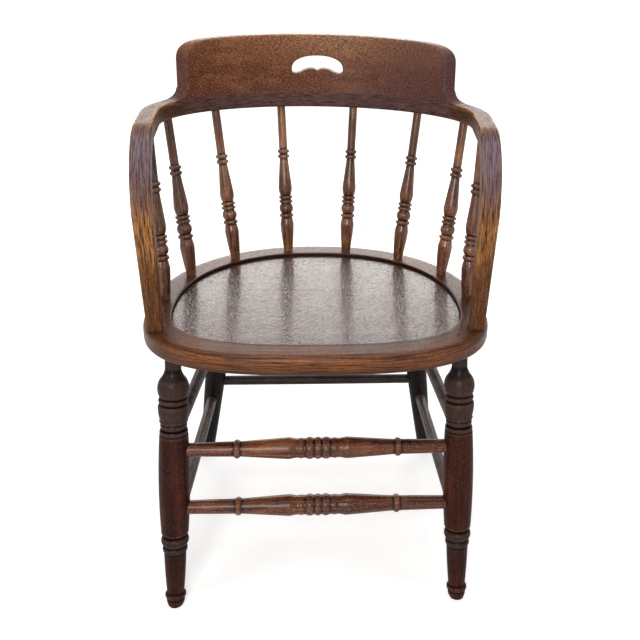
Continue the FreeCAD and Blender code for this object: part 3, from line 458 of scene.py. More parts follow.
@dataclass(frozen=True)
class Finishes:
    """Every finish of the chair."""

    panel: OakFinish = OakFinish(
        "panel_varnish", colour(34, 13, 8), colour(60, 26, 15), colour(90, 46, 25), sheen_and_haze_share=0.05,
        pore_strength=0.4, fleck_share=0.1, crackle_cells=190, crackle_across=1.5, crackle_depth=0.8,
        crackle_shade=0.15, roughness=0.32, specular=0.06, coat=0.8, coat_roughness=0.12, bump=0.42)
    seat: OakFinish = OakFinish(
        "seat_frame_varnish", colour(36, 15, 9), colour(84, 40, 18), colour(146, 86, 38),
        sheen_and_haze=colour(84, 64, 62), sheen_and_haze_share=0.12, streak_scale=120, fibre_stretch=0.025, thread_scale=700,
        thread_light=0.5, pore_strength=0.8, roughness=0.34, specular=0.08, coat=0.22, coat_roughness=0.18)
    # The arms' grey-purple colour is their painted sheen, a reflection over each bend.
    arms: OakFinish = OakFinish(
        "bow_varnish", colour(44, 20, 11), colour(74, 36, 19), colour(176, 122, 70),
        sheen_and_haze=colour(122, 108, 120), grime=colour(34, 18, 11), sheen_and_haze_share=0.05, rub_share=0.2,
        streak_scale=240, fibre_stretch=0.03, thread_scale=1150, thread_stretch=0.04, thread_light=0.9,
        pore_strength=0.9, crackle_depth=0.1, crackle_shade=0.05, roughness=0.42, specular=0.05, coat=0.05,
        coat_roughness=0.25)
    crest: OakFinish = OakFinish(
        "crest_varnish", colour(76, 34, 19), colour(98, 46, 25), colour(194, 136, 90),
        sheen_and_haze=colour(84, 62, 66), grime=colour(30, 18, 14), sheen_and_haze_share=0.1, fibre_stretch=0.3,
        thread_scale=820, thread_stretch=0.3, thread_light=0.75, pore_strength=0.85, fleck_share=0.5,
        crackle_cells=320, crackle_depth=0.5, crackle_shade=0.4, roughness=0.42, specular=0.06,
        coat_roughness=0.2)
    # The legs' grey colour is the sheen painted on the front legs' heads and rings.
    legs: OakFinish = OakFinish(
        "leg_varnish", colour(26, 11, 7), colour(58, 25, 15), colour(128, 66, 40), sheen_and_haze=colour(96, 90, 85),
        sheen_and_haze_share=0.03, cloud_lines=0.3, fleck_share=0.25, specular=0.02, coat=0.1)
    stretchers: OakFinish = OakFinish(
        "turned_stretcher_varnish", colour(20, 8, 5), colour(84, 38, 21), colour(196, 124, 76),
        sheen_and_haze_share=0.03, streak_scale=110, thread_light=0.6, crackle_shade=0.2, crackle_cells=260,
        specular=0.05, coat=0.4, coat_roughness=0.2, bump=0.22)
    # Side stretchers: a large share of grey clouds paints a grey sheen on them.
    plain: OakFinish = OakFinish(
        "plain_stick_varnish", colour(38, 26, 20), colour(78, 60, 50), colour(138, 118, 106),
        sheen_and_haze=colour(122, 112, 110), sheen_and_haze_share=0.42, roughness=0.4, coat=0.16)
    # Darker copy of the stick finish: painted shade on the back stretcher under the seat.
    back_stick_shaded: OakFinish = OakFinish(
        "back_stretcher_varnish", colour(28, 20, 17), colour(54, 41, 35), colour(98, 80, 70),
        sheen_and_haze_share=0.15, roughness=0.42, specular=0.06, coat=0.1)
    # Near-black copy of the leg finish: painted shade on the back legs under the seat.
    back_legs_shaded: OakFinish = OakFinish(
        "back_leg_varnish_painted_shade", colour(13, 10, 8), colour(24, 20, 16), colour(58, 48, 40),
        sheen_and_haze=colour(52, 50, 46), sheen_and_haze_share=0.15, fleck_share=0.4, roughness=0.44, specular=0.03, coat=0.06)
    spindles: OakFinish = OakFinish(
        "spindle_varnish", colour(36, 14, 8), colour(116, 62, 33), colour(214, 152, 100), sheen_and_haze_share=0.04,
        streak_scale=140, thread_light=0.6, fleck_share=0.12, crackle_shade=0.12, specular=0.05, coat=0.75,
        coat_roughness=0.1, bump=0.2)
    dowels: OakFinish = OakFinish(
        "bare_dowel", colour(150, 112, 76), colour(178, 140, 100), colour(190, 152, 112), sheen_and_haze_share=0.0,
        coat=0.0, roughness=0.6, crackle_depth=0.0, crackle_shade=0.0)


# Shared shapes


@dataclass(frozen=True)
class Notes:
    """Attribute layers of a mesh's points, which its finish reads."""

    grain: bmesh.types.BMLayerItem
    wear: bmesh.types.BMLayerItem
    grime: bmesh.types.BMLayerItem
    bloom: bmesh.types.BMLayerItem

    @classmethod
    def on(cls, bm: bmesh.types.BMesh) -> Notes:
        """New layers on a mesh."""
        grain = bm.verts.layers.float_vector.new("grain")
        return cls(grain, *(bm.verts.layers.float.new(name) for name in ("wear", "grime", "bloom")))

    def write(self, vert: bmesh.types.BMVert, grain: Vector, wear: float = 0.0, grime: float = 0.0,
              bloom: float = 0.0) -> None:
        """Note all four on a point.

        Args:
            vert: The point.
            grain: Its place in the stick, with the fibres along z, in metres.
            wear: 1 where it is rubbed.
            grime: 1 where it is dirty, and where shade is painted into a groove, recess, gap or underside.
            bloom: 1 where a grey sheen is painted on, and where its varnish is greyed.
        """
        vert[self.grain] = grain
        vert[self.wear] = wear
        vert[self.grime] = grime
        vert[self.bloom] = bloom


def finished(bm: bmesh.types.BMesh, name: str, finish: bpy.types.Material,
             sharp_degrees: float = 50.0) -> None:
    """Make a bmesh a piece that stands for the CAD node of the same name.

    Args:
        bm: The mesh in metres, in the chair's frame. It is freed.
        name: Name of the CAD node.
        finish: Material of the piece.
        sharp_degrees: Edges steeper than this stay crisp.
    """
    mesh = bpy.data.meshes.new(name)
    bmesh.ops.recalc_face_normals(bm, faces=bm.faces)
    bm.to_mesh(mesh)
    bm.free()
    mesh.shade_smooth()
    mesh.set_sharp_from_angle(angle=math.radians(sharp_degrees))
    mesh.materials.append(finish)
    piece = bpy.data.objects.new(f"{name}_dressed", mesh)
    bpy.context.scene.collection.objects.link(piece)
    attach(piece, "root")
    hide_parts(name)
    LOG.info("%s: %d faces", name, len(mesh.polygons))


def points_of(edges: Iterable[bmesh.types.BMEdge]) -> set[bmesh.types.BMVert]:
    """Points at the ends of edges."""
    return {vert for edge in edges for vert in edge.verts}


def extruded_edges(bm: bmesh.types.BMesh, edges: Iterable[bmesh.types.BMEdge]) -> list[bmesh.types.BMEdge]:
    """Extrude a rim of edges in place.

    Args:
        bm: The mesh.
        edges: The rim.

    Returns:
        Edges of the new rim.
    """
    made = bmesh.ops.extrude_edge_only(bm, edges=list(edges))["geom"]
    verts = {item for item in made if isinstance(item, bmesh.types.BMVert)}
    return [item for item in made if isinstance(item, bmesh.types.BMEdge) and verts.issuperset(item.verts)]


def circle_through(start: Vector, middle: Vector, end: Vector) -> tuple[Vector, float]:
    """Circle through three points of the plane y = 0.

    Args:
        start: First point.
        middle: A point between.
        end: Last point.

    Returns:
        The centre, and the turn about +Y from start to end through middle.
    """
    ax, az, bx, bz, cx, cz = start.x, start.z, middle.x, middle.z, end.x, end.z
    double = 2 * (ax * (bz - cz) + bx * (cz - az) + cx * (az - bz))
    a2, b2, c2 = ax * ax + az * az, bx * bx + bz * bz, cx * cx + cz * cz
    centre = Vector(((a2 * (bz - cz) + b2 * (cz - az) + c2 * (az - bz)) / double, 0,
                     (a2 * (cx - bx) + b2 * (ax - cx) + c2 * (bx - ax)) / double))
    turns = [math.atan2(point.x - centre.x, point.z - centre.z) for point in (start, middle, end)]
    onward = (turns[1] - turns[0]) % (2 * math.pi) <= (turns[2] - turns[0]) % (2 * math.pi)
    sweep = (turns[2] - turns[0]) % (2 * math.pi)
    return centre, sweep if onward else sweep - 2 * math.pi


def stand(bm: bmesh.types.BMesh, start: Vector, end: Vector) -> None:
    """Stand a stick, modelled in millimetres along +Z, between two points of the chair, in metres."""
    turn = (end - start).to_track_quat("Z", "Y").to_matrix().to_4x4()
    bmesh.ops.transform(bm, matrix=Matrix.Scale(MM, 4) @ Matrix.Translation(start) @ turn, verts=bm.verts)


@dataclass(frozen=True)
class Straight:
    """Straight stretch of a turned outline, up to a height and diameter."""

    height: float
    diameter: float

    def draw(self, lathe: Lathe) -> None:
        """Add it to an outline."""
        lathe.line(self.height, self.diameter)


@dataclass(frozen=True)
class Round:
    """Round stretch of a turned outline, through one height and diameter to another."""

    through_height: float
    through_diameter: float
    height: float
    diameter: float

    def draw(self, lathe: Lathe) -> None:
        """Add it to an outline."""
        lathe.arc(self.through_height, self.through_diameter, self.height, self.diameter)


@dataclass(frozen=True)
class Bead:
    """Half-round ring of a turned outline, back to the diameter it rose from."""

    width: float
    crown: float

    def draw(self, lathe: Lathe) -> None:
        """Add it to an outline."""
        lathe.bead(self.width, self.crown)


Turning = Straight | Round | Bead


class Lathe:
    """Half outline of a turned piece, in millimetres, drawn upwards and spun about its axis."""

    STEP = 1.3
    FEWEST_STEPS = 3
    LONGEST = 5.0
    TOUCH = 0.01
    NEIGHBOURHOOD = 3.5
    PROUD = 1.5
    # Groove depth at which the painted shade is full.
    SUNK = 0.9
    SEED_AXES = (1.0, 0.7, 1.3)

    def __init__(self, height: float, diameter: float, turnings: tuple[Turning, ...] = ()) -> None:
        """Begin on the axis and go out to the first diameter.

        Args:
            height: Height of the lower end.
            diameter: Diameter there.
            turnings: First stretches of the outline.
        """
        self.bm = bmesh.new()
        self.tip = self.bm.verts.new((0, 0, height))
        self.line(height, diameter)
        for turning in turnings:
            turning.draw(self)

    @property
    def height(self) -> float:
        """Height that the outline has reached."""
        return self.tip.co.z

    @property
    def diameter(self) -> float:
        """Diameter that the outline has reached."""
        return self.tip.co.x * 2

    def line(self, height: float, diameter: float) -> None:
        """Straight stretch up to a height and diameter."""
        self.tip = bmesh.ops.extrude_vert_indiv(self.bm, verts=[self.tip])["verts"][0]
        self.tip.co = (diameter / 2, 0, height)

    def arc(self, through_height: float, through_diameter: float, height: float, diameter: float) -> None:
        """Round stretch through one point to another.

        Args:
            through_height: Height of a point on the way.
            through_diameter: Diameter there.
            height: Height of the end.
            diameter: Diameter there.
        """
        end = Vector((diameter / 2, 0, height))
        centre, turn = circle_through(self.tip.co, Vector((through_diameter / 2, 0, through_height)), end)
        steps = max(self.FEWEST_STEPS, math.ceil(abs(turn) * (end - centre).length / self.STEP))
        last = bmesh.ops.spin(self.bm, geom=[self.tip], cent=centre, axis=(0, 1, 0), angle=turn, steps=steps)
        self.tip = next(item for item in last["geom_last"] if isinstance(item, bmesh.types.BMVert))

    def bead(self, width: float, crown: float) -> None:
        """Half-round ring of a width and a crown's diameter, back to the diameter it rose from."""
        self.arc(self.height + width / 2, crown, self.height + width, self.diameter)

    def turned(self, segments: int, seed: float, rub: float = 0.7) -> bmesh.types.BMesh:
        """Close the outline, spin it and note each point's grain, its wear, and painted shade in its grooves.

        Args:
            segments: Faces round the piece.
            seed: Number that moves the figure of the wood.
            rub: Wear on the proudest turnings.

        Returns:
            The round piece, in millimetres along +Z.
        """
        bm = self.bm
        self.line(self.height, 0.0)
        for edge in [edge for edge in bm.edges if edge.calc_length() > self.LONGEST]:
            bmesh.ops.subdivide_edges(bm, edges=[edge], cuts=int(edge.calc_length() / self.LONGEST))
        outline = [(vert.co.z, vert.co.x) for vert in bm.verts if vert.co.x > self.TOUCH]
        bmesh.ops.spin(bm, geom=bm.verts[:] + bm.edges[:], cent=(0, 0, 0), axis=(0, 0, 1),
                       angle=2 * math.pi, steps=segments, use_merge=True)
        bmesh.ops.remove_doubles(bm, verts=bm.verts, dist=self.TOUCH)
        self._note(outline, seed, rub)
        return bm

    def _note(self, outline: list[tuple[float, float]], seed: float, rub: float) -> None:
        """Write the attributes, from how far each line stands out from its neighbourhood: proud lines are
        worn and sunk lines get painted shade.

        Args:
            outline: Height and radius of each line.
            seed: Number that moves the figure of the wood.
            rub: Wear on the proudest turnings.
        """
        stand_out: dict[float, float] = {}
        for height, radius in sorted(outline):
            near = [other for place, other in outline if abs(place - height) <= self.NEIGHBOURHOOD]
            stand_out[round(height, 2)] = radius - (max(near) + min(near)) / 2
        notes = Notes.on(self.bm)
        shift = Vector([part * seed for part in self.SEED_AXES])
        for vert in self.bm.verts:
            proud = stand_out.get(round(vert.co.z, 2), 0.0)
            # Grooves get painted shade, from how deep they sink.
            notes.write(vert, vert.co * MM + shift, clamped(proud / self.PROUD) * rub,
                        clamped(-proud / self.SUNK))


@dataclass(frozen=True)
class SeatLine:
    """Outline of the seat: two half superellipses that meet at the widest line."""

    half_width: float = 258.5
    back_depth: float = 257.0
    front_depth: float = 166.0
    back_fullness: float = 2.2
    front_fullness: float = 2.85

    def point(self, turn: float, inset: float, height: float, share: float = 1.0) -> Vector:
        """Point inside the outline.

        Args:
            turn: Angle from +X.
            inset: Distance inside the edge.
            height: Height above the floor.
            share: Part of the way from the middle.

        Returns:
            The point in millimetres, in the chair's frame.
        """
        behind = math.sin(turn) >= 0
        depth = (self.back_depth if behind else self.front_depth) - inset
        fullness = self.back_fullness if behind else self.front_fullness
        across = abs(math.cos(turn) / (self.half_width - inset)) ** fullness
        deep = abs(math.sin(turn) / depth) ** fullness
        radius = share * (across + deep) ** (-1 / fullness)
        return Vector((radius * math.cos(turn), SEAT_MIDDLE_Y + radius * math.sin(turn), height))


@dataclass(frozen=True)
class Station:
    """Place of one section along the bow."""

    middle: Vector
    outwards: Vector
    upwards: Vector
    down: float = 0.0

    def mirrored(self) -> Station:
        """The same place on the other arm."""
        parts = (self.middle, self.outwards, self.upwards)
        return Station(*(Vector((-part.x, part.y, part.z)) for part in parts), self.down)


@dataclass(frozen=True)
class BowLine:
    """Centre line of the bow: a half ellipse, a straight run into each bend, and each arm's upright."""

    half_width: float = 252.5
    half_depth: float = 173.0
    centre_y: float = SEAT_MIDDLE_Y + 105.0
    height: float = 693.0
    toe_in: float = math.radians(5.4)
    bend_radius: float = 90.0
    foot_half: float = 232.0
    foot_y: float = SEAT_MIDDLE_Y - 77.0
    foot_sink: float = 2.0
    measuring_steps: int = 400
    past_curve_end: float = 1.1
    curve_steps: int = 56
    straight_step: float = 8.0
    bend_steps: int = 26
    upright_steps: int = 28

    @property
    def curve_end(self) -> float:
        """Angle from the back where the curve runs into an arm."""
        return math.pi / 2 + math.atan2(self.half_depth * math.sin(self.toe_in),
                                        self.half_width * math.cos(self.toe_in))

    def curve(self, angle: float, offset: float = 0.0) -> Vector:
        """Point of the curve at an angle from the back, moved outwards."""
        return Vector(((self.half_width + offset) * math.sin(angle),
                       self.centre_y + (self.half_depth + offset) * math.cos(angle), self.height))

    def run_to(self, angle: float, steps: int) -> float:
        """Length along the curve from the middle of the back to an angle, measured in small steps."""
        points = [self.curve(angle * step / steps) for step in range(steps + 1)]
        return sum((second - first).length for first, second in zip(points, points[1:]))

    @property
    def _small_turn(self) -> float:
        """Angle between two points at which the curve is measured."""
        return self.curve_end * self.past_curve_end / self.measuring_steps

    @cached_property
    def _measured(self) -> list[float]:
        """Length along the curve after each small step, a little past the curve's end.

        Returns:
            The lengths, from 0 on.
        """
        points = [self.curve(step * self._small_turn) for step in range(self.measuring_steps + 1)]
        lengths = ((second - first).length for first, second in zip(points, points[1:]))
        return list(accumulate(lengths, initial=0.0))

    def angle_at(self, run: float) -> float:
        """Angle from the back at a run along the curve.

        Args:
            run: Length along the curve from the middle of the back, negative to the left.

        Returns:
            The angle, with the sign of the run.
        """
        step = max(1, bisect_left(self._measured, abs(run)))
        if step > self.measuring_steps:
            return math.copysign(self.curve_end, run)
        before, after = self._measured[step - 1], self._measured[step]
        return math.copysign((step - 1 + (abs(run) - before) / (after - before)) * self._small_turn, run)

    def arm_forward(self) -> Vector:
        """Level direction in which the right arm runs forward."""
        return Vector((-math.sin(self.toe_in), -math.cos(self.toe_in), 0))

    def straight(self) -> tuple[Vector, Vector]:
        """Straight run of the right arm, between curve and bend.

        Returns:
            Its start and its end.
        """
        start = self.curve(self.curve_end)
        run = (start.y - self.foot_y) / math.cos(self.toe_in) - self.bend_radius
        return start, start + self.arm_forward() * run

    def at(self, run: float) -> Vector:
        """Point of the right half at a run from the middle of the back.

        Args:
            run: Length along the bow.

        Returns:
            The point of the centre line.
        """
        curve_run = self.run_to(self.curve_end, self.measuring_steps)
        if run <= curve_run:
            return self.curve(self.angle_at(run))
        start, end = self.straight()
        return start + (end - start).normalized() * (run - curve_run)

    def half_path(self) -> list[Station]:
        """Stations of the right half, from the middle of the back to the arm's foot.

        Returns:
            The stations.
        """
        stations = []
        for step in range(self.curve_steps + 1):
            angle = self.curve_end * step / self.curve_steps
            along = Vector((self.half_width * math.cos(angle), -self.half_depth * math.sin(angle), 0))
            stations.append(Station(self.curve(angle), along.normalized().cross(UP) * -1, UP))
        start, end = self.straight()
        forward = self.arm_forward()
        outwards = forward.cross(UP) * -1
        for share in stepped(0.0, 1.0, self.straight_step / (end - start).length)[1:]:
            stations.append(Station(start.lerp(end, share), outwards, UP))
        centre = end - UP * self.bend_radius
        for turn in quarter(self.bend_steps)[1:]:
            spoke = UP * math.cos(turn) + forward * math.sin(turn)
            stations.append(Station(centre + spoke * self.bend_radius, outwards, spoke))
        top = stations[-1].middle
        foot = Vector((self.foot_half, self.foot_y, SEAT_TOP - self.foot_sink))
        for share in stepped(0.0, 1.0, 1 / self.upright_steps)[1:]:
            stations.append(Station(top.lerp(foot, share), outwards, forward, share))
        return stations


SEAT_LINE = SeatLine()
BOW_LINE = BowLine()


# Seat


@dataclass(frozen=True)
class SectionPoint:
    """Point of the seat frame's section, with the wear along its line and its darkening: dirt, and painted
    shade in the rabbet, at the lip and underneath.
    """

    inset: float
    height: float
    wear: float = 0.0
    grime: float = 0.0


@dataclass
class Seat:
    """Bent seat frame and the inset panel."""

    finishes: Finishes
    rim: float = 40.0
    ledge: float = 22.0
    recess: float = 5.0
    panel_thickness: float = 8.0
    panel_gap: float = 0.3
    panel_arris: float = 0.8
    lip_round: float = 1.6
    top_round: float = 9.0
    under_round: float = 8.0
    lip_steps: int = 3
    top_steps: int = 6
    under_steps: int = 4
    rim_foot: float = 0.5
    weld: float = 0.001
    top_insets: tuple[float, ...] = (37.4, 36, 34, 28, 22, 17, 13)
    # Top points more than this inside the outer edge, by the lip, get a faint painted shade.
    painted_shade_inset: float = 30.0
    side_heights: tuple[float, ...] = (415, 412, 409)
    under_insets: tuple[float, ...] = (20, 36)
    panel_shares: tuple[float, ...] = (0.996, 0.985, 0.97, 0.95, 0.92, 0.88, 0.82, 0.75, 0.66, 0.56, 0.45,
                                       0.34, 0.23, 0.12, 0.04)
    grain_radius: float = 0.24
    panel_grain: tuple[float, float, float] = (0.31, 0.17, 0.05)
    # More towards the front: both the wear and the painted shade line.
    towards_front: Ramp = Ramp(0.2, 0.9)
    least_rub: float = 0.35
    line_inset: float = 2.6
    # Painted shade line along the lip, for the gap at the panel's front edge.
    painted_shade_line: Ramp = Ramp(2.2, 4.4, 0.95, 0.0)
    dirty_sides: Ramp = Ramp(0.72, 0.95, 0.0, 0.34)
    # Painted shade along the panel's edge: the dark gap at the rim.
    painted_shade_rows: Ramp = Ramp(0, 2, 1.0, 0.0)
    sharp_degrees: float = 35.0
    segments: int = 208

    def build(self) -> None:
        """Make both pieces."""
        finished(self._frame(), "seat_frame", self.finishes.seat.material(), self.sharp_degrees)
        finished(self._panel(), "seat_panel", self.finishes.panel.material(), self.sharp_degrees)

    def _section(self) -> list[SectionPoint]:
        """Section of the frame, from the inner underside outwards, over the top and back.

        Returns:
            The points.
        """
        inner = self.rim + self.ledge
        ledge_top = SEAT_TOP - self.recess - self.panel_thickness
        # Inner underside, ledge, rabbet wall and lip get painted shade, darkest on the wall, which shows as
        # the dark gap line behind the panel.
        section = [SectionPoint(inner, SEAT_UNDERSIDE, grime=0.5),
                   SectionPoint(inner, ledge_top, grime=1.0),
                   SectionPoint(self.rim, ledge_top, grime=1.0),
                   SectionPoint(self.rim, SEAT_TOP - self.recess - self.rim_foot, grime=1.0),
                   SectionPoint(self.rim, SEAT_TOP - self.lip_round, grime=0.85)]
        for step, turn in enumerate(quarter(self.lip_steps)):
            section.append(SectionPoint(self.rim - self.lip_round * (1 - math.cos(turn)),
                                        SEAT_TOP - self.lip_round * (1 - math.sin(turn)),
                                        wear=0.5, grime=0.6 - 0.18 * step))
        # Points of the top near the lip carry a faint painted shade.
        for inset in self.top_insets:
            grime = 0.12 if inset > self.painted_shade_inset else 0.0
            section.append(SectionPoint(inset, SEAT_TOP, wear=0.12, grime=grime))
        # Outer top rounding: worn, with a darker line across its middle.
        for step, turn in enumerate(quarter(self.top_steps)):
            section.append(SectionPoint(self.top_round * (1 - math.sin(turn)),
                                        SEAT_TOP - self.top_round * (1 - math.cos(turn)),
                                        wear=0.25 + 0.5 * math.sin(turn),
                                        grime=0.35 if step in (2, 3) else 0.0))
        section += [SectionPoint(0.0, height, wear=0.4) for height in self.side_heights]
        # Lower rounding and underside: painted shade under the seat.
        for step, turn in enumerate(quarter(self.under_steps)):
            section.append(SectionPoint(self.under_round * (1 - math.cos(turn)),
                                        SEAT_UNDERSIDE + self.under_round * (1 - math.sin(turn)),
                                        wear=0.35, grime=0.4 + 0.1 * step))
        section += [SectionPoint(inset, SEAT_UNDERSIDE, grime=0.6) for inset in self.under_insets]
        return section + section[:1]

    def _ring(self, bm: bmesh.types.BMesh) -> tuple[list[bmesh.types.BMEdge], bmesh.types.BMLayerItem]:
        """First ring of points, with each point's turn kept in a layer.

        Args:
            bm: The mesh that gets the ring.

        Returns:
            The ring's edges, and the layer.
        """
        turn_layer = bm.verts.layers.float.new("turn")
        made = bmesh.ops.create_circle(bm, cap_ends=False, radius=1.0, segments=self.segments)
        for vert in made["verts"]:
            vert[turn_layer] = math.atan2(vert.co.y, vert.co.x)
        return bm.edges[:], turn_layer

    def _frame(self) -> bmesh.types.BMesh:
        """Ring swept round the seat from its section.

        Returns:
            The frame in metres.
        """
        bm = bmesh.new()
        notes = Notes.on(bm)
        edges, turn_layer = self._ring(bm)
        for number, point in enumerate(self._section()):
            if number:
                edges = extruded_edges(bm, edges)
            on_top = point.height >= SEAT_TOP - self.lip_round
            # A thin painted shade line on the top by the lip, strongest at the front, where the gap at the
            # panel's edge lies in shadow.
            in_shade_line = self.painted_shade_line.of(abs(point.inset - self.rim + self.line_inset)) if on_top else 0.0
            for vert in points_of(edges):
                turn = vert[turn_layer]
                front = self.towards_front.of(-math.sin(turn))
                vert.co = SEAT_LINE.point(turn, point.inset, point.height) * MM
                grime = max(point.grime, front * in_shade_line, self.dirty_sides.of(abs(math.cos(turn))))
                notes.write(vert, Vector((point.inset * MM, point.height * MM, turn * self.grain_radius)),
                            point.wear * (self.least_rub + (1 - self.least_rub) * front), grime)
        bmesh.ops.remove_doubles(bm, verts=bm.verts, dist=self.weld * MM)
        return bm

    def _panel(self) -> bmesh.types.BMesh:
        """Panel from its edge inwards, top and underside.

        Returns:
            The panel in metres.
        """
        bm = bmesh.new()
        notes = Notes.on(bm)
        first, turn_layer = self._ring(bm)
        top = SEAT_TOP - self.recess
        # The panel's edge and first rows are painted dark: painted shade of the gap at the rim.
        rows = [(1.0, top - self.panel_thickness, 1.0), (1.0, top - self.panel_arris, 1.0)]
        rows += [(share, top, self.painted_shade_rows.of(number))
                 for number, share in enumerate(self.panel_shares, 1)]
        edges = first
        for number, (share, height, grime) in enumerate(rows):
            if number:
                edges = extruded_edges(bm, edges)
            for vert in points_of(edges):
                vert.co = SEAT_LINE.point(vert[turn_layer], self.rim + self.panel_gap, height, share) * MM
                grain = Vector((vert.co.z, vert.co.y, vert.co.x)) + Vector(self.panel_grain)
                notes.write(vert, grain, grime=grime)
        bmesh.ops.contextual_create(bm, geom=edges)
        bmesh.ops.contextual_create(bm, geom=first)
        return bm


# Legs and stretchers


@dataclass
class Legs:
    """Four raked legs and the seven stretchers between them.

    A leg's turnings are measured from the floor along its axis, and a stretcher's from its middle. The side
    stretchers have a height at the front leg and one at the back leg.
    """

    finishes: Finishes
    front_foot: tuple[float, float] = (218.0, SEAT_MIDDLE_Y - 163.0)
    front_top: tuple[float, float] = (206.0, SEAT_MIDDLE_Y - 98.0)
    back_foot: tuple[float, float] = (218.0, SEAT_MIDDLE_Y + 230.0)
    back_top: tuple[float, float] = (159.0, SEAT_MIDDLE_Y + 168.0)
    front_heights: tuple[tuple[str, float], ...] = (("upper", 252.0), ("lower", 160.0))
    side_heights: tuple[tuple[str, float, float], ...] = (("upper", 272.0, 303.0), ("lower", 129.0, 139.0))
    back_height: float = 174.5
    side_diameter: float = 18.3
    back_diameter: float = 17.5
    plain_swell: float = 0.7
    stick_inset: float = 6.0
    tenon: float = 8.0
    front_foot_diameter: float = 23.0
    back_foot_diameter: float = 25.0
    front_turnings: tuple[Turning, ...] = (
        # Foot with its ring, then the taper.
        Straight(0, 23), Round(5.75, 27, 11.5, 26.2), Bead(9, 31.5), Straight(24, 26.2),
        Round(57.5, 30.6, 91, 33),
        # Two rings under the shaft.
        Bead(9.5, 37), Straight(104, 33), Straight(104, 37), Bead(12, 41), Straight(116, 33),
        Straight(119.5, 33),
        # Shaft.
        Straight(123, 40.4), Round(202, 45.6, 281, 41.6),
        # Rings under the head.
        Straight(282, 39), Bead(7.5, 41), Straight(289.5, 35.7), Straight(291.5, 35.7), Bead(9, 38.6),
        Straight(300.5, 37.6), Bead(5.5, 41),
        # Head, in two swellings with a ring between.
        Straight(306, 39.6), Round(315, 43.3, 323.8, 44.4), Round(327.5, 42.8, 329.5, 38),
        Straight(331, 37.7), Bead(8, 42.7), Straight(340, 38.8), Round(345.5, 43.2, 352.6, 45),
        Round(361, 42.6, 366, 38.2))
    neck_hollow: tuple[float, float] = (371.5, 30.5)
    neck_length: float = 22.4
    neck_diameter: float = 23.2
    back_swell: Round = Round(98, 32.25, 196, 37.5)
    back_shoulder_diameter: float = 33.75
    back_top_diameter: float = 28.0
    stretcher_end_diameter: float = 19.6
    stretcher_turnings: tuple[Turning, ...] = (
        Straight(-123.5, 22.2), Bead(9.5, 27.5), Straight(-42, 32), Straight(-31.75, 28),
        Straight(-28.55, 28.5), Bead(7.5, 30), Straight(-17.85, 28.5), Bead(11.5, 32.3),
        Straight(-4.75, 28.5), Bead(9.5, 32.3), Straight(6.35, 28.5), Bead(11.5, 32.3),
        Straight(21.05, 28.5), Bead(7.5, 30), Straight(31.75, 28), Straight(42, 32), Straight(114, 22.2),
        Bead(9.5, 27.5))
    head_zone: Ramp = Ramp(279, 284)
    rings_start: Ramp = Ramp(86, 92)
    rings_end: Ramp = Ramp(119, 125, 1.0, 0.0)
    foot_grime: Ramp = Ramp(12, 27, 0.35, 0.0)
    taper_grime: Ramp = Ramp(84, 92, 0.18, 0.0)
    # Darker head and rings of the front legs, and the painted grey sheen over them.
    head_darkening: float = 0.42
    ring_darkening: float = 0.5
    turning_painted_sheen: float = 0.34
    leg_seeds: tuple[tuple[End, float], ...] = ((End.FRONT, 2.0), (End.BACK, 3.1))
    side_seed: float = 0.5
    stretcher_seed: float = 0.6
    stretcher_rub: float = 0.2
    seed_by_length: float = 0.013
    leg_segments: int = 64
    stretcher_segments: int = 48
    plain_segments: int = 32

    def axis(self, end: End, side: Side) -> tuple[Vector, Vector]:
        """Foot and top of one leg's axis."""
        foot, top = (self.front_foot, self.front_top) if end is End.FRONT else (self.back_foot, self.back_top)
        return (Vector((side.value * foot[0], foot[1], 0)),
                Vector((side.value * top[0], top[1], SEAT_UNDERSIDE)))

    def point(self, end: End, side: Side, height: float) -> Vector:
        """Point of a leg's axis at a height."""
        foot, top = self.axis(end, side)
        return foot.lerp(top, height / SEAT_UNDERSIDE)

    def build(self) -> None:
        """Make legs and stretchers."""
        # The back legs take the near-black copy of the leg finish: painted shade.
        leg_finishes = (self.finishes.legs.material(), self.finishes.back_legs_shaded.material())
        plain = self.finishes.plain.material()
        turned = self.finishes.stretchers.material()
        for (end, seed), finish in zip(self.leg_seeds, leg_finishes):
            for side in Side:
                self._leg(end, side, seed + side.value * self.side_seed, finish)
        for number, (level, height) in enumerate(self.front_heights):
            self._turned_stretcher(f"stretcher_front_{level}", height, self.stretcher_seed + number, turned)
        # Side stretchers take the finish with a painted grey sheen.
        for side in Side:
            for level, front, back in self.side_heights:
                self._plain(f"stretcher_{side.word}_{level}", self.point(End.FRONT, side, front),
                            self.point(End.BACK, side, back), self.side_diameter, plain)
        # The back stretcher takes a darker copy of the stick finish: painted shade.
        self._plain("stretcher_back", self.point(End.BACK, Side.LEFT, self.back_height),
                    self.point(End.BACK, Side.RIGHT, self.back_height), self.back_diameter,
                    self.finishes.back_stick_shaded.material())

    def _leg(self, end: End, side: Side, seed: float, finish: bpy.types.Material) -> None:
        """One leg, cut level at the floor.

        Args:
            end: Front or back.
            side: Left or right.
            seed: Number that moves the figure of the wood.
            finish: Material of the leg.
        """
        foot, top = self.axis(end, side)
        outline = self._front_outline if end is End.FRONT else self._back_outline
        bm = outline((top - foot).length).turned(self.leg_segments, seed)
        if end is End.FRONT:
            self._darken_turnings(bm)
        stand(bm, foot, top)
        cut = bmesh.ops.bisect_plane(bm, geom=bm.verts[:] + bm.edges[:] + bm.faces[:], plane_co=(0, 0, 0),
                                     plane_no=(0, 0, -1), clear_outer=True)
        rim = [item for item in cut["geom_cut"] if isinstance(item, bmesh.types.BMEdge)]
        bmesh.ops.holes_fill(bm, edges=rim, sides=0)
        finished(bm, f"leg_{end.value}_{side.word}", finish)

